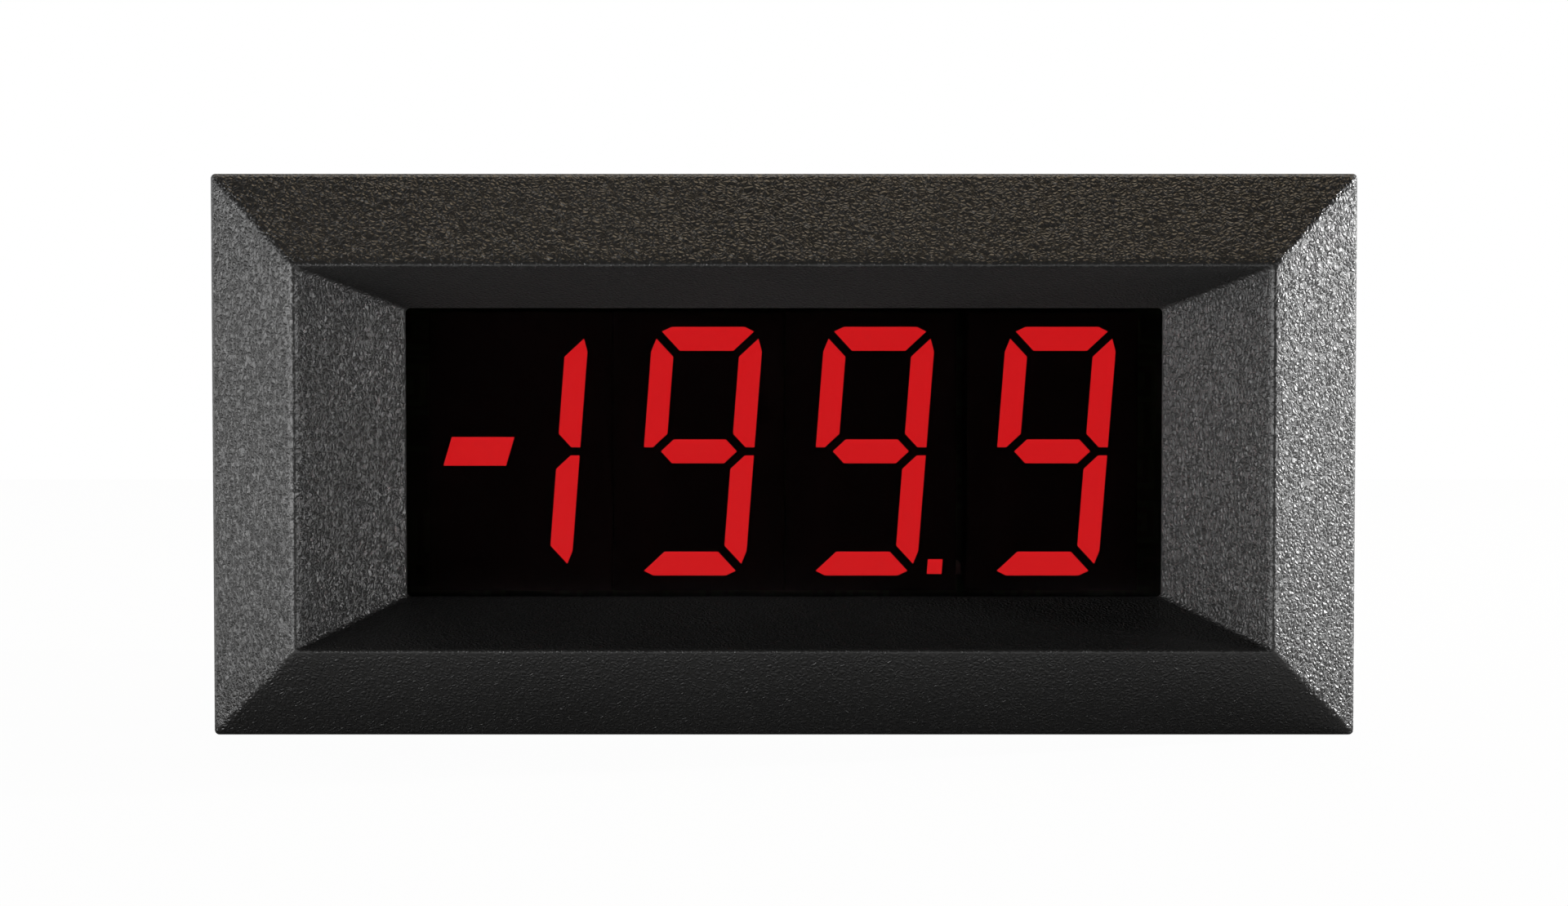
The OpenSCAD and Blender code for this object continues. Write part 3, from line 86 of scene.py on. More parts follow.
class Tree:
    """A shader node tree with short calls that add and link nodes."""

    def __init__(self, tree: bpy.types.NodeTree) -> None:
        """Wraps an existing node tree."""
        self.tree = tree

    def node(self, kind: str, **settings: object) -> bpy.types.Node:
        """Adds a node.

        Args:
            kind: the node's class name without its ShaderNode prefix.
            settings: properties to set on the new node.

        Returns:
            The new node.
        """
        made = self.tree.nodes.new("ShaderNode" + kind)
        for name, value in settings.items():
            setattr(made, name, value)
        return made

    def feed(self, target: Socket, value: object) -> None:
        """Links a socket to an input, or sets the input to a constant."""
        if isinstance(value, Socket):
            self.tree.links.new(value, target)
        else:
            target.default_value = value

    def math(self, operation: str, a: object, b: object = 0.0) -> Socket:
        """Adds a Math node.

        Args:
            operation: the node's operation, such as MULTIPLY.
            a: first value or socket.
            b: second value or socket.

        Returns:
            The node's result.
        """
        made = self.node("Math", operation=operation)
        self.feed(made.inputs[0], a)
        self.feed(made.inputs[1], b)
        return made.outputs[0]

    def line(self, value: object, gain: object, base: object) -> Socket:
        """A straight line through a value: value times gain, plus base."""
        return self.math("ADD", self.math("MULTIPLY", value, gain), base)

    def ramp(self, value: Socket, low: object, high: object) -> Socket:
        """Maps low..high to 0..1, with soft ends.

        Args:
            value: the socket to map.
            low: the value that becomes 0.
            high: the value that becomes 1.

        Returns:
            The mapped value.
        """
        made = self.node("MapRange", interpolation_type="SMOOTHSTEP")
        self.feed(made.inputs["Value"], value)
        self.feed(made.inputs["From Min"], low)
        self.feed(made.inputs["From Max"], high)
        return made.outputs["Result"]

    def mix(self, factor: object, a: object, b: object) -> Socket:
        """Mixes two colours.

        Args:
            factor: 0 gives a, 1 gives b.
            a: first colour or socket.
            b: second colour or socket.

        Returns:
            The mixed colour.
        """
        made = self.node("Mix", data_type="RGBA")
        self.feed(made.inputs[0], factor)
        self.feed(made.inputs[6], a)
        self.feed(made.inputs[7], b)
        return made.outputs[2]

    def noise(self, place: Socket, scale: object, detail: float = 2.0) -> bpy.types.Node:
        """Adds a noise texture.

        Args:
            place: coordinates in metres.
            scale: waves per metre.
            detail: number of finer layers.

        Returns:
            The noise node.
        """
        made = self.node("TexNoise")
        self.feed(made.inputs["Vector"], place)
        self.feed(made.inputs["Scale"], scale)
        made.inputs["Detail"].default_value = detail
        return made

    def place(self, stretch: Place = (1.0, 1.0, 1.0)) -> Socket:
        """The point on the piece, in metres, stretched by a Mapping node."""
        made = self.node("Mapping")
        made.inputs["Scale"].default_value = stretch
        self.feed(made.inputs["Vector"], self.node("TexCoord").outputs["Object"])
        return made.outputs["Vector"]

    def axis(self, place: Socket, name: str) -> Socket:
        """One coordinate of a place, X, Y or Z."""
        made = self.node("SeparateXYZ")
        self.feed(made.inputs[0], place)
        return made.outputs[name]

    def group(self, tree: bpy.types.NodeTree, **values: object) -> bpy.types.Node:
        """Places a node group.

        Args:
            tree: the group.
            values: inputs by name, with _ for a space.

        Returns:
            The group's node.
        """
        made = self.node("Group", node_tree=tree)
        for name, value in values.items():
            self.feed(made.inputs[name.replace("_", " ")], value)
        return made


def rgba(colour: Sequence[float]) -> tuple[float, float, float, float]:
    """A colour with full alpha."""
    return (colour[0], colour[1], colour[2], 1.0)


def new_group(
    name: str, inputs: dict[str, object], outputs: dict[str, str]
) -> tuple[Tree, bpy.types.Node, bpy.types.Node]:
    """Makes an empty node group with named sockets.

    Args:
        name: the group's name.
        inputs: default value of each input; the type follows the value.
        outputs: type of each output, Float, Color or Vector.

    Returns:
        The group's tree as a Tree, its input node and its output node.
    """
    tree = bpy.data.node_groups.new(name, "ShaderNodeTree")
    for label, value in inputs.items():
        kind = "NodeSocketFloat" if isinstance(value, float) else "NodeSocketColor"
        kind = "NodeSocketVector" if value is None else kind
        made = tree.interface.new_socket(label, in_out="INPUT", socket_type=kind)
        if value is not None:
            made.default_value = value
    for label, kind in outputs.items():
        tree.interface.new_socket(label, in_out="OUTPUT", socket_type="NodeSocket" + kind)
    entry = tree.nodes.new("NodeGroupInput")
    leave = tree.nodes.new("NodeGroupOutput")
    return Tree(tree), entry, leave


@dataclass
class Effects:
    """The node groups that several finishes share, and the numbers inside them."""

    warp_rate: float = 0.5
    warp: float = 1.6
    groove: float = 0.42
    fine_rate: float = 2.5
    fine_share: float = 0.38
    edge_turn: Pair = (0.02, 0.2)
    wear_rate: float = 1400.0
    wear_gaps: Pair = (0.35, 0.6)
    mark_contrast: Pair = (0.3, 0.7)

    def __post_init__(self) -> None:
        """Builds every group once."""
        self.grain = self.make_grain()
        self.drift = self.make_drift()
        self.edges = self.make_edges()
        self.drawn = self.make_drawn()

    def make_grain(self) -> bpy.types.NodeTree:
        """Pebbled mould grain.

        The place p is warped by a noise n, w = p + warp s (n(warp_rate p / s) - 0.5), with s the
        grain's size. The height is (1 - f) step(e(w / s)) + f n(fine_rate w / s), where e is the
        distance to the nearest cell's edge, stepped from 0 to groove, and f is fine_share.

        Returns:
            The group, with Height for a Bump node and Pits, a mask of the grooves.
        """
        t, entry, leave = new_group(
            "moulded_grain",
            {"Place": None, "Size": 0.0002},
            {"Height": "Float", "Pits": "Float"},
        )
        place, size = entry.outputs["Place"], entry.outputs["Size"]
        rate = t.math("DIVIDE", 1.0, size)
        warp = t.noise(place, t.math("MULTIPLY", rate, self.warp_rate), 1.0).outputs["Color"]
        centred = t.node("VectorMath", operation="SUBTRACT")
        t.feed(centred.inputs[0], warp)
        centred.inputs[1].default_value = (0.5, 0.5, 0.5)
        scaled = t.node("VectorMath", operation="SCALE")
        t.feed(scaled.inputs[0], centred.outputs[0])
        t.feed(scaled.inputs["Scale"], t.math("MULTIPLY", size, self.warp))
        moved = t.node("VectorMath", operation="ADD")
        t.feed(moved.inputs[0], place)
        t.feed(moved.inputs[1], scaled.outputs[0])
        cells = t.node("TexVoronoi", feature="DISTANCE_TO_EDGE")
        t.feed(cells.inputs["Vector"], moved.outputs[0])
        t.feed(cells.inputs["Scale"], rate)
        pebble = t.ramp(cells.outputs["Distance"], 0.0, self.groove)
        fine_rate = t.math("MULTIPLY", rate, self.fine_rate)
        fine = t.noise(moved.outputs[0], fine_rate, 2.0).outputs["Fac"]
        fine_part = t.math("MULTIPLY", fine, self.fine_share)
        t.feed(leave.inputs["Height"], t.line(pebble, 1 - self.fine_share, fine_part))
        t.feed(leave.inputs["Pits"], t.math("SUBTRACT", 1.0, pebble))
        return t.tree

    def make_drift(self) -> bpy.types.NodeTree:
        """Slow drift of a colour over the surface: c (1 + a (2 n(p / s) - 1)).

        Returns:
            The group, with Color and Fac, the drift from 0 to 1.
        """
        t, entry, leave = new_group(
            "tint_drift",
            {"Place": None, "Color": (0.5, 0.5, 0.5, 1.0), "Size": 0.01, "Amount": 0.2},
            {"Color": "Color", "Fac": "Float"},
        )
        rate = t.math("DIVIDE", 1.0, entry.outputs["Size"])
        fac = t.noise(entry.outputs["Place"], rate, 4.0).outputs["Fac"]
        gain = t.line(t.line(fac, 2.0, -1.0), entry.outputs["Amount"], 1.0)
        scaled = t.node("VectorMath", operation="SCALE")
        t.feed(scaled.inputs[0], entry.outputs["Color"])
        t.feed(scaled.inputs["Scale"], gain)
        t.feed(leave.inputs["Color"], scaled.outputs[0])
        t.feed(leave.inputs["Fac"], fac)
        return t.tree

    def make_edges(self) -> bpy.types.NodeTree:
        """Softly rounded edges, and a mask of them broken up by a noise.

        The mask is step(1 - n0 . n1), with n0 the true normal and n1 the rounded one, stepped
        over edge_turn.

        Returns:
            The group, with Normal for a Bump node and Mask.
        """
        t, entry, leave = new_group(
            "soft_edges",
            {"Place": None, "Radius": 0.0002},
            {"Normal": "Vector", "Mask": "Float"},
        )
        bevel = t.node("Bevel", samples=4)
        t.feed(bevel.inputs["Radius"], entry.outputs["Radius"])
        dot = t.node("VectorMath", operation="DOT_PRODUCT")
        t.feed(dot.inputs[0], bevel.outputs["Normal"])
        t.feed(dot.inputs[1], t.node("NewGeometry").outputs["Normal"])
        turned = t.math("SUBTRACT", 1.0, dot.outputs["Value"])
        broken = t.noise(entry.outputs["Place"], self.wear_rate, 3.0).outputs["Fac"]
        mask = t.math("MULTIPLY", t.ramp(turned, *self.edge_turn), t.ramp(broken, *self.wear_gaps))
        t.feed(leave.inputs["Normal"], bevel.outputs["Normal"])
        t.feed(leave.inputs["Mask"], mask)
        return t.tree

    def make_drawn(self) -> bpy.types.NodeTree:
        """Fine marks of drawn metal: a noise, and its contrast as a value.

        Returns:
            The group, with Height and Fac.
        """
        t, entry, leave = new_group(
            "drawn_marks",
            {"Place": None, "Size": 0.0001},
            {"Height": "Float", "Fac": "Float"},
        )
        rate = t.math("DIVIDE", 1.0, entry.outputs["Size"])
        marks = t.noise(entry.outputs["Place"], rate, 3.0).outputs["Fac"]
        t.feed(leave.inputs["Height"], marks)
        t.feed(leave.inputs["Fac"], t.ramp(marks, *self.mark_contrast))
        return t.tree


EFFECTS = Effects()


def blank(name: str) -> tuple[bpy.types.Material, Tree, bpy.types.Node]:
    """A new material.

    Args:
        name: the material's name.

    Returns:
        The material, its Tree and its Principled shader.
    """
    material = bpy.data.materials.new(name)
    material.use_nodes = True
    return material, Tree(material.node_tree), material.node_tree.nodes["Principled BSDF"]


def bump(t: Tree, height: Socket, depth: float, normal: Socket | None = None) -> Socket:
    """Adds a Bump node.

    Args:
        t: the material's tree.
        height: height from 0 to 1.
        depth: what a height of 1 stands for, in metres.
        normal: the normal to start from.

    Returns:
        The bumped normal.
    """
    made = t.node("Bump")
    made.inputs["Strength"].default_value = 1.0
    made.inputs["Distance"].default_value = depth
    t.feed(made.inputs["Height"], height)
    if normal is not None:
        t.feed(made.inputs["Normal"], normal)
    return made.outputs["Normal"]


# ------------------------------------------------------------------ finishes


@dataclass(frozen=True)
class Plastic:
    """A moulded plastic with a grained surface, painted shade in the grain's pits, and slightly
    paler, worn edges.

    Where rubbed is set, the grain keeps a share of its height at depths up to rubbed's first
    value, and all of it from its second on.
    """

    name: str
    colour: Colour
    roughness: float
    grain: Grain
    specular: float = 0.35
    drift: float = 0.12
    patch_grains: float = 40.0
    pit_painted_shade_share: float = 0.35
    pit_painted_shade_gain: float = 0.45
    rough_spread: float = 0.16
    wear: float = 0.35
    wear_gain: float = 1.7
    wear_lift: float = 0.01
    edge: float = 0.12 * MM
    rounded: bool = True
    rubbed: Pair | None = None
    rubbed_grain: float = 0.55

    def material(self) -> bpy.types.Material:
        """Builds the material.

        Returns:
            The material.
        """
        size, depth = self.grain.value
        made, t, shader = blank(self.name)
        place = t.place()
        grain = t.group(EFFECTS.grain, Place=place, Size=size)
        drift = t.group(
            EFFECTS.drift, Place=place, Color=rgba(self.colour), Size=self.patch_grains * size,
            Amount=self.drift,
        )
        # Painted shade: the base colour is darker in the grain's pits, by a share of the groove
        # mask.
        painted_pit_shade_mask = t.math("MULTIPLY", grain.outputs["Pits"], self.pit_painted_shade_share)
        painted_pit_shade = rgba([self.pit_painted_shade_gain * c for c in self.colour])
        tint = t.mix(painted_pit_shade_mask, drift.outputs["Color"], painted_pit_shade)
        normal = None
        if self.rounded:
            edges = t.group(EFFECTS.edges, Place=place, Radius=self.edge)
            pale = rgba([min(1.0, self.wear_gain * c + self.wear_lift) for c in self.colour])
            worn = t.math("MULTIPLY", edges.outputs["Mask"], self.wear)
            tint = t.mix(worn, tint, pale)
            normal = edges.outputs["Normal"]
        t.feed(shader.inputs["Base Color"], tint)
        least = self.roughness - self.rough_spread / 2
        t.feed(shader.inputs["Roughness"], t.line(drift.outputs["Fac"], self.rough_spread, least))
        height = grain.outputs["Height"]
        if self.rubbed:
            deep = t.ramp(t.axis(place, "Y"), *self.rubbed)
            kept = t.line(deep, 1 - self.rubbed_grain, self.rubbed_grain)
            height = t.math("MULTIPLY", height, kept)
        shader.inputs["Specular IOR Level"].default_value = self.specular
        t.feed(shader.inputs["Normal"], bump(t, height, depth, normal))
        return made


@dataclass(frozen=True)
class Metal:
    """A drawn, plated or cut metal with fine marks and dull patches."""

    name: str
    colour: Colour
    roughness: float
    mark: float = 0.08 * MM
    mark_depth: float = 0.003 * MM
    mark_spread: float = 0.14
    patch: float = 2.0 * MM
    drift: float = 0.1
    dull: Pair = (0.55, 0.8)
    dull_share: float = 0.35
    dull_spread: float = 0.2
    tarnish: Colour = (0.25, 0.22, 0.18)

    def material(self) -> bpy.types.Material:
        """Builds the material.

        Returns:
            The material.
        """
        made, t, shader = blank(self.name)
        place = t.place()
        marks = t.group(EFFECTS.drawn, Place=place, Size=self.mark)
        drift = t.group(
            EFFECTS.drift, Place=place, Color=rgba(self.colour), Size=self.patch, Amount=self.drift
        )
        dull = t.ramp(drift.outputs["Fac"], *self.dull)
        shaded = t.math("MULTIPLY", dull, self.dull_share)
        tint = t.mix(shaded, drift.outputs["Color"], rgba(self.tarnish))
        t.feed(shader.inputs["Base Color"], tint)
        shader.inputs["Metallic"].default_value = 1.0
        base = t.line(dull, self.dull_spread, self.roughness)
        t.feed(shader.inputs["Roughness"], t.line(marks.outputs["Fac"], self.mark_spread, base))
        t.feed(shader.inputs["Normal"], bump(t, marks.outputs["Height"], self.mark_depth))
        return made


@dataclass(frozen=True)
class TintedWindow:
    """The smoky red acrylic in front of the display, with a faint haze on its face."""

    name: str
    tint: Colour
    roughness: float
    specular: float
    index: float = 1.49
    haze_rate: float = 160.0
    haze_spread: float = 0.05
    patch: float = 20.0 * MM
    drift: float = 0.02

    def material(self) -> bpy.types.Material:
        """Builds the material.

        Returns:
            The material.
        """
        made, t, shader = blank(self.name)
        place = t.place()
        haze = t.noise(place, self.haze_rate, 4.0).outputs["Fac"]
        t.feed(shader.inputs["Roughness"], t.line(haze, self.haze_spread, self.roughness))
        drift = t.group(
            EFFECTS.drift, Place=place, Color=rgba(self.tint), Size=self.patch, Amount=self.drift
        )
        t.feed(shader.inputs["Base Color"], drift.outputs["Color"])
        shader.inputs["Transmission Weight"].default_value = 1.0
        shader.inputs["IOR"].default_value = self.index
        shader.inputs["Specular IOR Level"].default_value = self.specular
        return made


@dataclass(frozen=True)
class LitSegment:
    """A cast resin light bar, evenly lit from behind.

    The glow is seen by rays of a depth up to reach, so straight or through the window. It is too
    weak to colour the walls round it.
    """

    name: str
    colour: Colour
    glow: Colour
    reach: float = 2.5
    patch: float = 4.0 * MM
    drift: float = 0.015
    roughness: float = 0.3
    rough_rate: float = 9000.0
    rough_spread: float = 0.1

    def material(self) -> bpy.types.Material:
        """Builds the material.

        Returns:
            The material.
        """
        made, t, shader = blank(self.name)
        place = t.place()
        drift = t.group(
            EFFECTS.drift, Place=place, Color=rgba(self.glow), Size=self.patch, Amount=self.drift
        )
        deep = t.math("GREATER_THAN", t.node("LightPath").outputs["Ray Depth"], self.reach)
        seen = t.mix(deep, drift.outputs["Color"], (0.0, 0.0, 0.0, 1.0))
        t.feed(shader.inputs["Emission Color"], seen)
        shader.inputs["Emission Strength"].default_value = 1.0
        shader.inputs["Base Color"].default_value = rgba(self.colour)
        fine = t.noise(place, self.rough_rate, 2.0).outputs["Fac"]
        t.feed(shader.inputs["Roughness"], t.line(fine, self.rough_spread, self.roughness))
        return made


@dataclass(frozen=True)
class CircuitBoard:
    """Solder mask over copper tracks on glass laminate."""

    name: str
    mask: Colour
    track: Colour
    pitch: float = 1.27 * MM
    cell_pitches: float = 0.35
    scatter: float = 0.8
    ring: float = 0.11
    ring_edge: Pair = (0.05, 0.06)
    weave_stretch: Place = (1.0, 0.15, 1.0)
    weave_rate: float = 6000.0
    weave_share: float = 0.25
    depth: float = 0.02 * MM
    roughness: float = 0.3
    rough_spread: float = 0.2
    specular: float = 0.5

    def material(self) -> bpy.types.Material:
        """Builds the material.

        Tracks are square rings, at even steps of distance from scattered points.

        Returns:
            The material.
        """
        made, t, shader = blank(self.name)
        place = t.place()
        cells = t.node("TexVoronoi", feature="F1", distance="CHEBYCHEV")
        t.feed(cells.inputs["Vector"], place)
        cells.inputs["Scale"].default_value = self.cell_pitches / self.pitch
        cells.inputs["Randomness"].default_value = self.scatter
        ring = t.math("PINGPONG", cells.outputs["Distance"], self.ring)
        track = t.ramp(ring, *self.ring_edge)
        weave = t.noise(t.place(self.weave_stretch), self.weave_rate, 2.0).outputs["Fac"]
        tint = t.mix(track, rgba(self.mask), rgba(self.track))
        t.feed(shader.inputs["Base Color"], tint)
        t.feed(shader.inputs["Roughness"], t.line(weave, self.rough_spread, self.roughness))
        shader.inputs["Specular IOR Level"].default_value = self.specular
        raised = t.math("MULTIPLY", track, 1 - self.weave_share)
        height = t.line(weave, self.weave_share, raised)
        t.feed(shader.inputs["Normal"], bump(t, height, self.depth))
        return made


@dataclass(frozen=True)
class Banded:
    """A lacquered resistor body with coloured value bands across it."""

    name: str
    body: Colour
    bands: tuple[Colour, ...]
    middle: float
    first: float = -2.2 * MM
    step: float = 1.15 * MM
    width: float = 0.5 * MM
    patch: float = 1.0 * MM
    drift: float = 0.08
    roughness: float = 0.3
    rough_spread: float = 0.2

    def material(self) -> bpy.types.Material:
        """Builds the material, with each band where |x - x_i| is under half a width.

        Returns:
            The material.
        """
        made, t, shader = blank(self.name)
        place = t.place()
        x = t.axis(place, "X")
        drift = t.group(
            EFFECTS.drift, Place=place, Color=rgba(self.body), Size=self.patch, Amount=self.drift
        )
        tint = drift.outputs["Color"]
        for i, band in enumerate(self.bands):
            away = t.math("SUBTRACT", x, self.middle + self.first + i * self.step)
            inside = t.math("LESS_THAN", t.math("ABSOLUTE", away), self.width / 2)
            tint = t.mix(inside, tint, rgba(band))
        t.feed(shader.inputs["Base Color"], tint)
        rough = t.line(drift.outputs["Fac"], self.rough_spread, self.roughness)
        t.feed(shader.inputs["Roughness"], rough)
        return made


# ----------------------------------------------------------------- surfaces


def round_off(points: np.ndarray, reach: np.ndarray, steps: int) -> np.ndarray:
    """Rounds the corners of a closed line.

    Each corner p with neighbours q and s becomes the curve (1-t)^2 a + 2t(1-t) p + t^2 b, where
    a and b lie a given reach from p towards q and s.

    Args:
        points: corners, one row each.
        reach: how far each rounding reaches; 0 keeps a corner.
        steps: spans of each curve.

    Returns:
        The rounded line, one row a point.
    """
    made = []
    for i, corner in enumerate(points):
        if reach[i] <= 0:
            made.append(corner[None])
            continue
        before = points[i - 1] - corner
        after = points[(i + 1) % len(points)] - corner
        a = corner + before * reach[i] / np.linalg.norm(before)
        b = corner + after * reach[i] / np.linalg.norm(after)
        t = np.linspace(0.0, 1.0, steps + 1)[:, None]
        made.append((1 - t) ** 2 * a + 2 * t * (1 - t) * corner + t**2 * b)
    return np.concatenate(made)


def subdivide(points: np.ndarray, longest: float) -> np.ndarray:
    """Splits the spans of a closed line so that none is longer than a given length.

    Args:
        points: the line's points, one row each.
        longest: the longest span, in metres.

    Returns:
        The finer line.
    """
    made = []
    for here, there in zip(points, np.roll(points, -1, axis=0)):
        count = max(1, math.ceil(np.linalg.norm(there - here) / longest))
        t = np.arange(count)[:, None] / count
        made.append(here + (there - here) * t)
    return np.concatenate(made)


@dataclass
class FramePath:
    """The way round a rectangle with round corners, as coefficients of its sizes.

    Point j at half sizes (a, b) and corner radius r is
    x = S(u_j, a - r) + c_j r,  z = S(w_j, b - r) + s_j r,
    with S(u, h) = k u / m up to |u| = m, and linear from k to h beyond it. So places nearer the
    middle than the knee k are the same for every half size.
    """

    knee_x: float
    knee_z: float
    along_x: int = 88
    along_z: int = 40
    arc: int = 6
    bend: float = 0.9
    stops: tuple[float, ...] = ()

    def __post_init__(self) -> None:
        """Works out the coefficients, anticlockwise from the lower end of the right side.

        On the long sides the point nearest to each stop, a place along x, is moved to it.
        """
        signs = [(1, -1), (1, 1), (-1, 1), (-1, -1)]
        u, w, c, s = [], [], [], []
        for k, (sign_x, sign_z) in enumerate(signs):
            turn = np.radians(-90 + 90 * k + np.linspace(0, 90, self.arc + 1))
            u.append(np.full(turn.size, float(sign_x)))
            w.append(np.full(turn.size, float(sign_z)))
            c.append(np.cos(turn))
            s.append(np.sin(turn))
            next_x, next_z = signs[(k + 1) % 4]
            count = self.along_x if next_x != sign_x else self.along_z
            t = np.linspace(0, 1, count + 1)[1:-1]
            if next_x != sign_x:
                marks = (1 - sign_x * np.array(self.stops) * self.bend / self.knee_x) / 2
                t[np.abs(t[:, None] - marks).argmin(axis=0)] = marks
            u.append(sign_x + (next_x - sign_x) * t)
            w.append(sign_z + (next_z - sign_z) * t)
            c.append(np.full(t.size, np.cos(turn[-1])))
            s.append(np.full(t.size, np.sin(turn[-1])))
        self.u, self.w = np.concatenate(u), np.concatenate(w)
        self.c, self.s = np.concatenate(c), np.concatenate(s)

    def spread(self, u: np.ndarray, half: np.ndarray, knee: float) -> np.ndarray:
        """S(u, h) of the class's formula, for columns of half sizes."""
        outer = knee + (np.abs(u) - self.bend) / (1 - self.bend) * (half[:, None] - knee)
        return np.where(np.abs(u) < self.bend, knee * u / self.bend, np.sign(u) * outer)

    def carry(self, profile: np.ndarray, radius: np.ndarray) -> np.ndarray:
        """Carries a closed profile round the rectangle.

        Args:
            profile: rows of half width, half height and depth.
            radius: corner radius of each row.

        Returns:
            A grid of points, profile rows by path points by three.
        """
        x = self.spread(self.u, profile[:, 0] - radius, self.knee_x) + self.c * radius[:, None]
        z = self.spread(self.w, profile[:, 1] - radius, self.knee_z) + self.s * radius[:, None]
        y = np.broadcast_to(profile[:, 2:3], x.shape)
        return np.stack([x, y, z], axis=-1)


def torus_faces(rows: int, columns: int) -> np.ndarray:
    """Four-sided faces of a grid that closes both ways.

    Args:
        rows: number of rows.
        columns: number of columns.

    Returns:
        An array of rows by columns by four point numbers.
    """
    i, j = np.meshgrid(np.arange(rows), np.arange(columns), indexing="ij")
    i2, j2 = (i + 1) % rows, (j + 1) % columns
    return np.stack([i * columns + j, i * columns + j2, i2 * columns + j2, i2 * columns + j], -1)


def mesh_piece(name: str, points: np.ndarray, faces: np.ndarray, sharp: float) -> bpy.types.Object:
    """Makes a closed piece from arrays, without loose points and with its faces turned outwards.

    Args:
        name: the piece's name.
        points: one row a point, in metres.
        faces: one row a four-sided face.
        sharp: angle in degrees past which an edge stays sharp.

    Returns:
        The new object.
    """
    used, renumbered = np.unique(faces, return_inverse=True)
    mesh = bpy.data.meshes.new(name)
    mesh.from_pydata(points[used].tolist(), [], renumbered.reshape(faces.shape).tolist())
    shape = bmesh.new()
    shape.from_mesh(mesh)
    bmesh.ops.recalc_face_normals(shape, faces=shape.faces)
    shape.to_mesh(mesh)
    shape.free()
    mesh.shade_smooth()
    mesh.set_sharp_from_angle(angle=math.radians(sharp))
    made = bpy.data.objects.new(name, mesh)
    bpy.context.scene.collection.objects.link(made)
    return made


def dress(nodes: Sequence[str], material: bpy.types.Material) -> None:
    """Gives CAD nodes a material, in every slot that they have."""
    for name in nodes:
        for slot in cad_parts[name].material_slots:
            slot.material = material
    LOG.info("dressed %s with %s", ", ".join(nodes), material.name)


# ------------------------------------------------------------ sub-assemblies


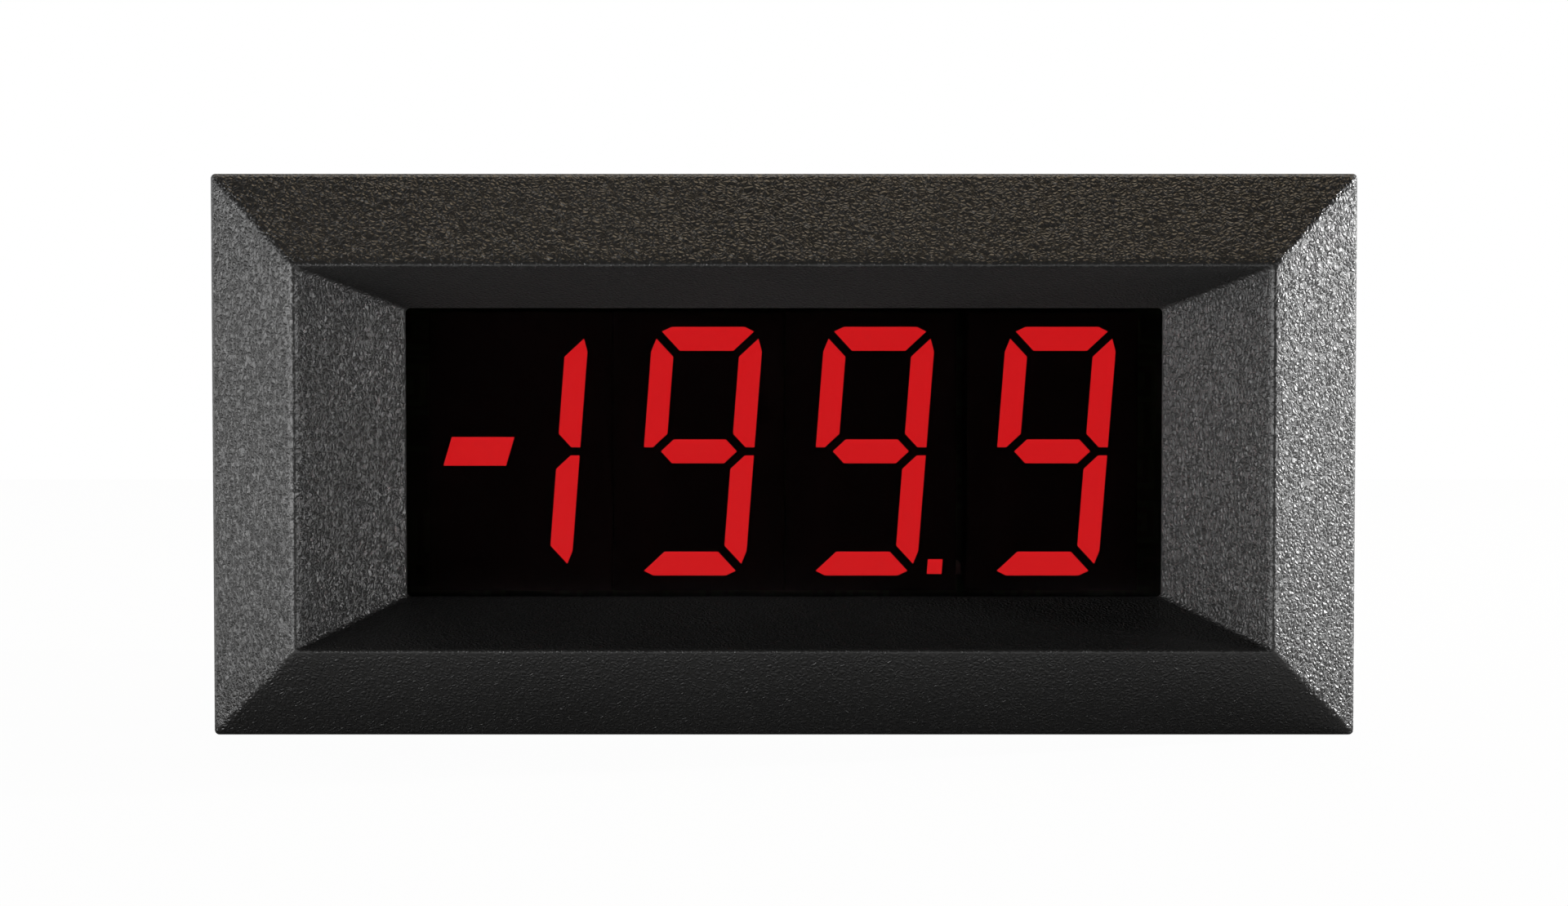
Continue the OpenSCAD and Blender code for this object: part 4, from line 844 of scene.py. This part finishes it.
@dataclass
class Bezel:
    """The front bezel: two rings of bevels that meet in a ridge, and a skirt behind them.

    Lengths are in metres, and each pair of half sizes is a width and a height. The outline comes
    from the fixed frame. A reach is how far the rounding of an edge goes down both its sides.
    """

    edge_t: float = 1.2 * MM
    edge_break: float = 0.2 * MM
    edge_reach: float = 0.08 * MM
    break_reach: float = 0.1 * MM
    bevel: float = 5.8 * MM
    ridge_y: float = -5.8 * MM
    ridge_wall: float = 3.4 * MM
    ridge_reach: float = 0.37 * MM
    view_half: Pair = (24.2 * MM, 9.25 * MM)
    view_edge: float = 0.4 * MM
    view_reach: float = 0.15 * MM
    pocket: Pair = (25.3 * MM, 10.35 * MM)
    pocket_wall: float = 1.2 * MM
    pocket_rim: float = 0.2 * MM
    groove: Pair = (29.58 * MM, 12.38 * MM)
    seat: Pair = (31.3 * MM, 13.8 * MM)
    seat_depth: float = 1.0 * MM
    skirt_half: Pair = (33.7 * MM, 16.2 * MM)
    skirt_wall: float = 1.5 * MM
    skirt_reach: Pair = (0.1 * MM, 0.15 * MM)
    latch_x: Pair = (14.0 * MM, 22.0 * MM)
    latch_y: Pair = (4.4 * MM, 6.6 * MM)
    mitre: float = 0.3 * MM
    round_steps: int = 5
    longest: float = 0.9 * MM
    knee: Pair = (23.0 * MM, 8.5 * MM)
    sharp_deg: float = 32.0
    slack: float = 0.01 * MM
    rubbed_depth: Pair = (0.15 * MM, 0.45 * MM)

    def profile(self) -> tuple[np.ndarray, np.ndarray]:
        """Corners of the section, from the flange's back outwards round to the skirt.

        Returns:
            Rows of half width, half height and depth, and each corner's rounding reach.
        """
        low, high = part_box("bezel")
        half = (high.x, high.z)
        window_low, window_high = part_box("window_filter")
        ridge = (half[0] - self.bevel, half[1] - self.bevel)
        broken = (half[0] - self.edge_break, half[1] - self.edge_break)
        slope = self.edge_break / self.bevel
        groove_y = self.ridge_y + self.ridge_wall
        back = window_high.y + self.pocket_rim
        inner = (self.skirt_half[0] - self.skirt_wall, self.skirt_half[1] - self.skirt_wall)
        wall = self.pocket_wall
        fall = -self.edge_t - self.ridge_y
        rows = [
            (half[0], half[1], 0.0, 0.0),
            (half[0], half[1], self.edge_break - self.edge_t, self.edge_reach),
            (*broken, -self.edge_t - slope * fall, self.break_reach),
            (ridge[0], ridge[1], self.ridge_y, self.ridge_reach),
            (*self.view_half, window_low.y - self.view_edge, self.view_reach),
            (*self.view_half, window_low.y, 0.0),
            (*self.pocket, window_low.y, 0.0),
            (*self.pocket, back, 0.0),
            (self.pocket[0] + wall, self.pocket[1] + wall, back, 0.0),
            (*self.groove, groove_y, 0.0),
            (*self.seat, groove_y, 0.0),
            (*self.seat, -self.seat_depth, 0.0),
            (*inner, -self.seat_depth, 0.0),
            (*inner, self.latch_y[0], 0.0),
            (*inner, self.latch_y[1], 0.0),
            (*inner, high.y, self.skirt_reach[0]),
            (*self.skirt_half, high.y, self.skirt_reach[1]),
            (*self.skirt_half, self.latch_y[1], 0.0),
            (*self.skirt_half, self.latch_y[0], 0.0),
            (*self.skirt_half, 0.0, 0.0),
        ]
        table = np.array(rows)
        return table[:, :3], table[:, 3]

    def cut_latches(self, line: np.ndarray, grid: np.ndarray, faces: np.ndarray) -> np.ndarray:
        """Cuts the latch windows through the skirt's long walls.

        A face goes where its middle has x0 < |x| < x1, y0 < y < y1 and lies in the wall. The
        outer rim of each window is then joined to the inner rim, point by point.

        Args:
            line: rows of half width, half height and depth.
            grid: the points, line rows by path points by three.
            faces: point numbers of every face.

        Returns:
            Point numbers of the faces that are left and of the new ones.
        """
        (x0, x1), (y0, y1) = self.latch_x, self.latch_y
        middle = grid.reshape(-1, 3)[faces].mean(axis=1)
        inner_half = self.skirt_half[1] - self.skirt_wall
        in_wall = np.abs(middle[:, 2]) > inner_half - self.slack
        in_x = (np.abs(middle[:, 0]) > x0) & (np.abs(middle[:, 0]) < x1)
        kept = faces[~(in_wall & in_x & (middle[:, 1] > y0) & (middle[:, 1] < y1))]
        inside = (line[:, 2] > y0 - self.slack) & (line[:, 2] < y1 + self.slack)
        walls = []
        for half in (self.skirt_half[1], inner_half):
            rows = np.flatnonzero(inside & (np.abs(line[:, 1] - half) < self.slack))
            walls.append(rows[np.argsort(line[rows, 2])])
        outer, inner = walls
        x, z = grid[outer[0], :, 0], grid[outer[0], :, 2]
        for side_x in (1, -1):
            for side_z in (1, -1):
                near = (side_x * x > x0 - self.slack) & (side_x * x < x1 + self.slack)
                run = np.flatnonzero(near & (side_z * z > 0))
                last = len(outer) - 1
                k = np.concatenate([np.zeros(len(run), int), np.arange(1, last),
                                    np.full(len(run), last), np.arange(last - 1, 0, -1)])
                j = np.concatenate([run, np.full(last - 1, run[-1]),
                                    run[::-1], np.full(last - 1, run[0])])
                rims = [wall[k] * grid.shape[1] + j for wall in (outer, inner)]
                after = [np.roll(rim, -1) for rim in rims]
                kept = np.concatenate([kept, np.stack([rims[0], after[0], after[1], rims[1]], -1)])
        return kept

    def build(self) -> bpy.types.Object:
        """Carries the section round and cuts the latch windows.

        Returns:
            The bezel as one closed piece.
        """
        corners, reach = self.profile()
        line = subdivide(round_off(corners, reach, self.round_steps), self.longest)
        stops = tuple(sign * x for sign in (1, -1) for x in self.latch_x)
        path = FramePath(*self.knee, stops=stops)
        grid = path.carry(line, np.full(len(line), self.mitre))
        faces = torus_faces(*grid.shape[:2]).reshape(-1, 4)
        faces = self.cut_latches(line, grid, faces)
        return mesh_piece("bezel_shell", grid.reshape(-1, 3), faces, self.sharp_deg)

    def dress(self) -> None:
        """Builds the shell, finishes it and puts it in the place of the plain node."""
        rubbed = (self.ridge_y + self.rubbed_depth[0], self.ridge_y + self.rubbed_depth[1])
        finish = Plastic(
            "bezel_plastic", (0.020, 0.0196, 0.0192), 0.38, Grain.LEATHER, specular=0.5,
            rounded=False, rubbed=rubbed,
        )
        material = finish.material()
        shell = self.build()
        shell.data.materials.append(material)
        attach(shell, "root")
        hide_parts("bezel")
        LOG.info("bezel: %d faces", len(shell.data.polygons))


@dataclass
class Display:
    """The window, the digit modules and their light bars. Lengths are in metres.

    The decimal point of the third digit stands a little further out than in the frame, inside
    the same module.
    """

    point_x: Pair = (8.6 * MM, 9.75 * MM)
    point_top: float = -6.9 * MM
    point_step: float = 0.57 * MM
    weld: float = 0.001 * MM

    def move_point(self, node: str, material: bpy.types.Material) -> None:
        """Puts a copy of a node, with its decimal point moved, in the node's place.

        The points with x0 < x < x1 and z < z1 move by one step along x, and the rest stay.

        Args:
            node: the node's name.
            material: the copy's material.
        """
        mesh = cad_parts[node].data.copy()
        shape = bmesh.new()
        shape.from_mesh(mesh)
        bmesh.ops.remove_doubles(shape, verts=shape.verts, dist=self.weld)
        shape.to_mesh(mesh)
        shape.free()
        places = np.empty(3 * len(mesh.vertices))
        mesh.vertices.foreach_get("co", places)
        x, z = places[0::3], places[2::3]
        x[(x > self.point_x[0]) & (x < self.point_x[1]) & (z < self.point_top)] += self.point_step
        mesh.vertices.foreach_set("co", places)
        mesh.update()
        mesh.materials.clear()
        mesh.materials.append(material)
        made = bpy.data.objects.new(node + "_point", mesh)
        bpy.context.scene.collection.objects.link(made)
        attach(made, "root")
        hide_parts(node)
        LOG.info("display: %s has its point moved", node)

    def dress(self) -> None:
        """Finishes the window, the modules and the segments."""
        dress(
            ["window_filter"],
            TintedWindow("window_tint", (0.62, 0.42, 0.42), 0.03, 0.12).material(),
        )
        modules = ["half_digit_module"] + [f"digit_module_{i}" for i in (1, 2, 3)]
        black = Plastic(
            "module_black", (0.0035, 0.0035, 0.0035), 0.6, Grain.SATIN, specular=0.08, wear=0.0,
            rounded=False,
        )
        face = black.material()
        dress(modules, face)
        lit = ["lit_sign_and_one"] + [f"lit_segments_{i}" for i in (1, 2, 3)]
        glow = LitSegment("segment_lit", (0.02, 0.004, 0.004), (1.0, 0.02, 0.026)).material()
        dress(lit, glow)
        self.move_point("digit_module_2", face)
        self.move_point("lit_segments_2", glow)
        unlit = Plastic(
            "segment_dark", (0.004, 0.0034, 0.0034), 0.5, Grain.SATIN, specular=0.1, wear=0.0,
            rounded=False,
        )
        dress(["unlit_segments"], unlit.material())


@dataclass
class Case:
    """The case tube, its rear cover, the cover's screws and the panel clamps."""

    def dress(self) -> None:
        """Finishes the case's pieces."""
        black = Plastic("case_plastic", (0.022, 0.022, 0.023), 0.48, Grain.SPARK)
        dress(["case_tube", "rear_cover", "clamp_left", "clamp_right"], black.material())
        steel = Metal("screw_steel", (0.62, 0.61, 0.58), 0.28)
        dress(["cover_screws"], steel.material())


@dataclass
class Boards:
    """The two circuit boards and what is soldered to them."""

    def dress(self) -> None:
        """Finishes the boards and their components."""
        board = CircuitBoard("board", (0.016, 0.09, 0.035), (0.03, 0.16, 0.06))
        dress(["display_board", "main_board"], board.material())
        tinned = Metal("tinned_metal", (0.74, 0.74, 0.72), 0.3)
        dress(["display_leads", "link_pins", "chip_leads", "header_pins", "plug_contacts"],
              tinned.material())
        epoxy = Plastic("chip_black", (0.018, 0.018, 0.019), 0.55, Grain.SATIN)
        dress(["converter_chip", "voltage_regulator", "link_strip"], epoxy.material())
        film = Plastic("film_ochre", (0.46, 0.26, 0.045), 0.3, Grain.SATIN)
        dress(["film_capacitors"], film.material())
        sleeve = Plastic("can_sleeve", (0.015, 0.03, 0.08), 0.28, Grain.SATIN)
        dress(["electrolytic_capacitor"], sleeve.material())
        low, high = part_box("resistors")
        bands = ((0.25, 0.12, 0.02), (0.01, 0.01, 0.01), (0.45, 0.08, 0.01), (0.4, 0.28, 0.06))
        beige = Banded("resistor_beige", (0.56, 0.42, 0.24), bands, (low.x + high.x) / 2)
        dress(["resistors"], beige.material())
        blue = Plastic("trimmer_blue", (0.012, 0.09, 0.42), 0.35, Grain.SATIN)
        dress(["trimmer_body"], blue.material())
        brass = Metal("brass_screw", (0.72, 0.52, 0.22), 0.25)
        dress(["trimmer_screw"], brass.material())


@dataclass
class Terminals:
    """The header, the plug that goes into it, and its screws and wire cages."""

    def dress(self) -> None:
        """Finishes the terminals."""
        green = Plastic("terminal_green", (0.025, 0.20, 0.06), 0.42, Grain.SATIN)
        dress(["terminal_header", "plug_body"], green.material())
        cage = Metal("cage_steel", (0.66, 0.66, 0.66), 0.32)
        dress([f"wire_cage_{i}" for i in range(1, 5)], cage.material())
        screw = Metal("screw_steel", (0.70, 0.70, 0.68), 0.26)
        dress([f"terminal_screw_{i}" for i in range(1, 5)], screw.material())


@dataclass(frozen=True)
class Lamp:
    """An area lamp aimed at the display, with its size in metres and its power in watts."""

    name: str
    place: Place
    size: Pair
    power: float
    colour: Colour = (1.0, 1.0, 1.0)

    def build(self) -> None:
        """Adds the lamp to the scene, unseen by the camera."""
        data = bpy.data.lights.new(self.name, "AREA")
        data.color = self.colour
        data.shape = "RECTANGLE"
        data.size, data.size_y = self.size
        data.energy = self.power
        made = bpy.data.objects.new(self.name, data)
        made.location = self.place
        made.rotation_euler = (-Vector(self.place)).to_track_quat("-Z", "Y").to_euler()
        made.visible_camera = False
        bpy.context.scene.collection.objects.link(made)


@dataclass
class Studio:
    """The floor, the surroundings, the lamps and the camera. Lengths are in metres."""

    distance: float = 0.224
    height_deg: float = 2.65
    lens: float = 81.7
    aim_up: float = 0.15 * MM
    front: float = -1.2 * MM
    floor_half: float = 0.3
    floor_front: float = 0.08
    floor_grey: float = 0.25
    floor_glow: float = 1.06
    glow_share: float = 0.92
    # contact: reach of the painted contact shadow in the floor's mirrored glow, in metres
    contact: float = 0.02
    behind: Pair = (0.25, 0.6)
    ambient: float = 1.0
    lamps: tuple[Lamp, ...] = (
        Lamp("lamp_left", (-0.32, -0.19, 0.0), (0.44, 0.10), 1.9),
        Lamp("lamp_right", (0.38, -0.12, 0.0), (0.05, 0.05), 0.95),
        Lamp("lamp_edge", (0.39, 0.11, 0.08), (0.02, 0.02), 2.3),
        Lamp("lamp_rear", (0.05, 0.18, 0.42), (0.3, 0.1), 0.44, (1.0, 0.76, 0.46)),
    )

    def build(self) -> None:
        """Builds everything round the object."""
        low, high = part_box("bezel")
        whole_low, whole_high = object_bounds()
        self.floor(whole_low.z, (low.x, self.front), (high.x, whole_high.y))
        self.surroundings()
        for lamp in self.lamps:
            lamp.build()
        self.camera()

    def floor(self, z: float, foot_low: Pair, foot_high: Pair) -> None:
        """Adds a white floor that keeps the object's shadow, and whose glow, mirrored in the
        object, fades near the foot as a painted contact shadow.

        Args:
            z: the floor's height.
            foot_low: least x and y of what stands on the floor.
            foot_high: greatest x and y of it.
        """
        mesh = bpy.data.meshes.new("floor")
        h = self.floor_half
        f = self.floor_front
        mesh.from_pydata([(-h, -f, z), (h, -f, z), (h, h, z), (-h, h, z)], [], [(0, 1, 2, 3)])
        mesh.materials.append(self.floor_white(foot_low, foot_high))
        made = bpy.data.objects.new("floor", mesh)
        bpy.context.scene.collection.objects.link(made)
        made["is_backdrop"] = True

    def floor_white(self, foot_low: Pair, foot_high: Pair) -> bpy.types.Material:
        """The floor's material, which shows the surroundings' white.

        Mirrored in the object, its glow fades towards the foot as a painted contact shadow, by the
        step of d / contact, with d = |max(|p - c| - h, 0)| for a foot of middle c and half size h.

        Args:
            foot_low: least x and y of what stands on the floor.
            foot_high: greatest x and y of it.

        Returns:
            The material.
        """
        material = bpy.data.materials.new("floor_white")
        material.use_nodes = True
        t = Tree(material.node_tree)
        material.node_tree.nodes.clear()
        diffuse = t.node("BsdfDiffuse")
        diffuse.inputs["Color"].default_value = rgba([self.floor_grey] * 3)
        glow = t.node("Emission")
        glow.inputs["Color"].default_value = (1.0, 1.0, 1.0, 1.0)
        glow.inputs["Strength"].default_value = self.floor_glow
        place = t.place()
        squares = []
        for axis, least, most in zip("XY", foot_low, foot_high):
            off = t.math("SUBTRACT", t.axis(place, axis), (least + most) / 2)
            out = t.math("SUBTRACT", t.math("ABSOLUTE", off), (most - least) / 2)
            out = t.math("MAXIMUM", out, 0.0)
            squares.append(t.math("MULTIPLY", out, out))
        away = t.math("SQRT", t.math("ADD", *squares))
        path = t.node("LightPath")
        # Painted contact shadow: the glow seen in reflections is masked out near the foot.
        outside_painted_shadow = t.ramp(away, 0.0, self.contact)
        mirrored = t.math("MULTIPLY", path.outputs["Is Glossy Ray"], outside_painted_shadow)
        seen = t.math("MAXIMUM", path.outputs["Is Camera Ray"], mirrored)
        seen = t.math("MAXIMUM", seen, path.outputs["Is Transmission Ray"])
        mixed = t.node("MixShader")
        t.feed(mixed.inputs[0], t.math("MULTIPLY", seen, self.glow_share))
        t.feed(mixed.inputs[1], diffuse.outputs[0])
        t.feed(mixed.inputs[2], glow.outputs[0])
        t.feed(t.node("OutputMaterial").inputs["Surface"], mixed.outputs[0])
        return material

    def surroundings(self) -> None:
        """White to the eye. The side that the display faces gives the object no light."""
        world = bpy.data.worlds.new("studio")
        bpy.context.scene.world = world
        world.use_nodes = True
        t = Tree(world.node_tree)
        world.node_tree.nodes.clear()
        behind = t.ramp(t.axis(t.node("TexCoord").outputs["Generated"], "Y"), *self.behind)
        rays = t.node("LightPath").outputs
        mirrored = t.math("MAXIMUM", rays["Is Glossy Ray"], rays["Is Transmission Ray"])
        shown = t.math("MAXIMUM", rays["Is Camera Ray"], t.math("MULTIPLY", mirrored, behind))
        level = t.math("MAXIMUM", shown, t.math("MULTIPLY", behind, self.ambient))
        background = t.node("Background")
        background.inputs["Color"].default_value = (1.0, 1.0, 1.0, 1.0)
        t.feed(background.inputs["Strength"], level)
        t.feed(t.node("OutputWorld").inputs["Surface"], background.outputs[0])

    def camera(self) -> None:
        """Sets the camera a little above the display's axis."""
        data = bpy.data.cameras.new("camera")
        data.lens = self.lens
        data.sensor_width = 36.0
        data.clip_start = 0.01
        up = math.radians(self.height_deg)
        made = bpy.data.objects.new("camera", data)
        y = self.front - self.distance * math.cos(up)
        made.location = (0.0, y, self.aim_up + self.distance * math.sin(up))
        made.rotation_euler = (math.pi / 2 - up, 0.0, 0.0)
        bpy.context.scene.collection.objects.link(made)
        bpy.context.scene.camera = made


def main() -> None:
    """Builds and dresses every sub-assembly."""
    logging.basicConfig(level=logging.INFO, format="%(name)s: %(message)s")
    bpy.context.scene.view_settings.view_transform = "Standard"
    Studio().build()
    for part in (Bezel(), Display(), Case(), Boards(), Terminals()):
        part.dress()


if __name__ == "__main__":
    main()
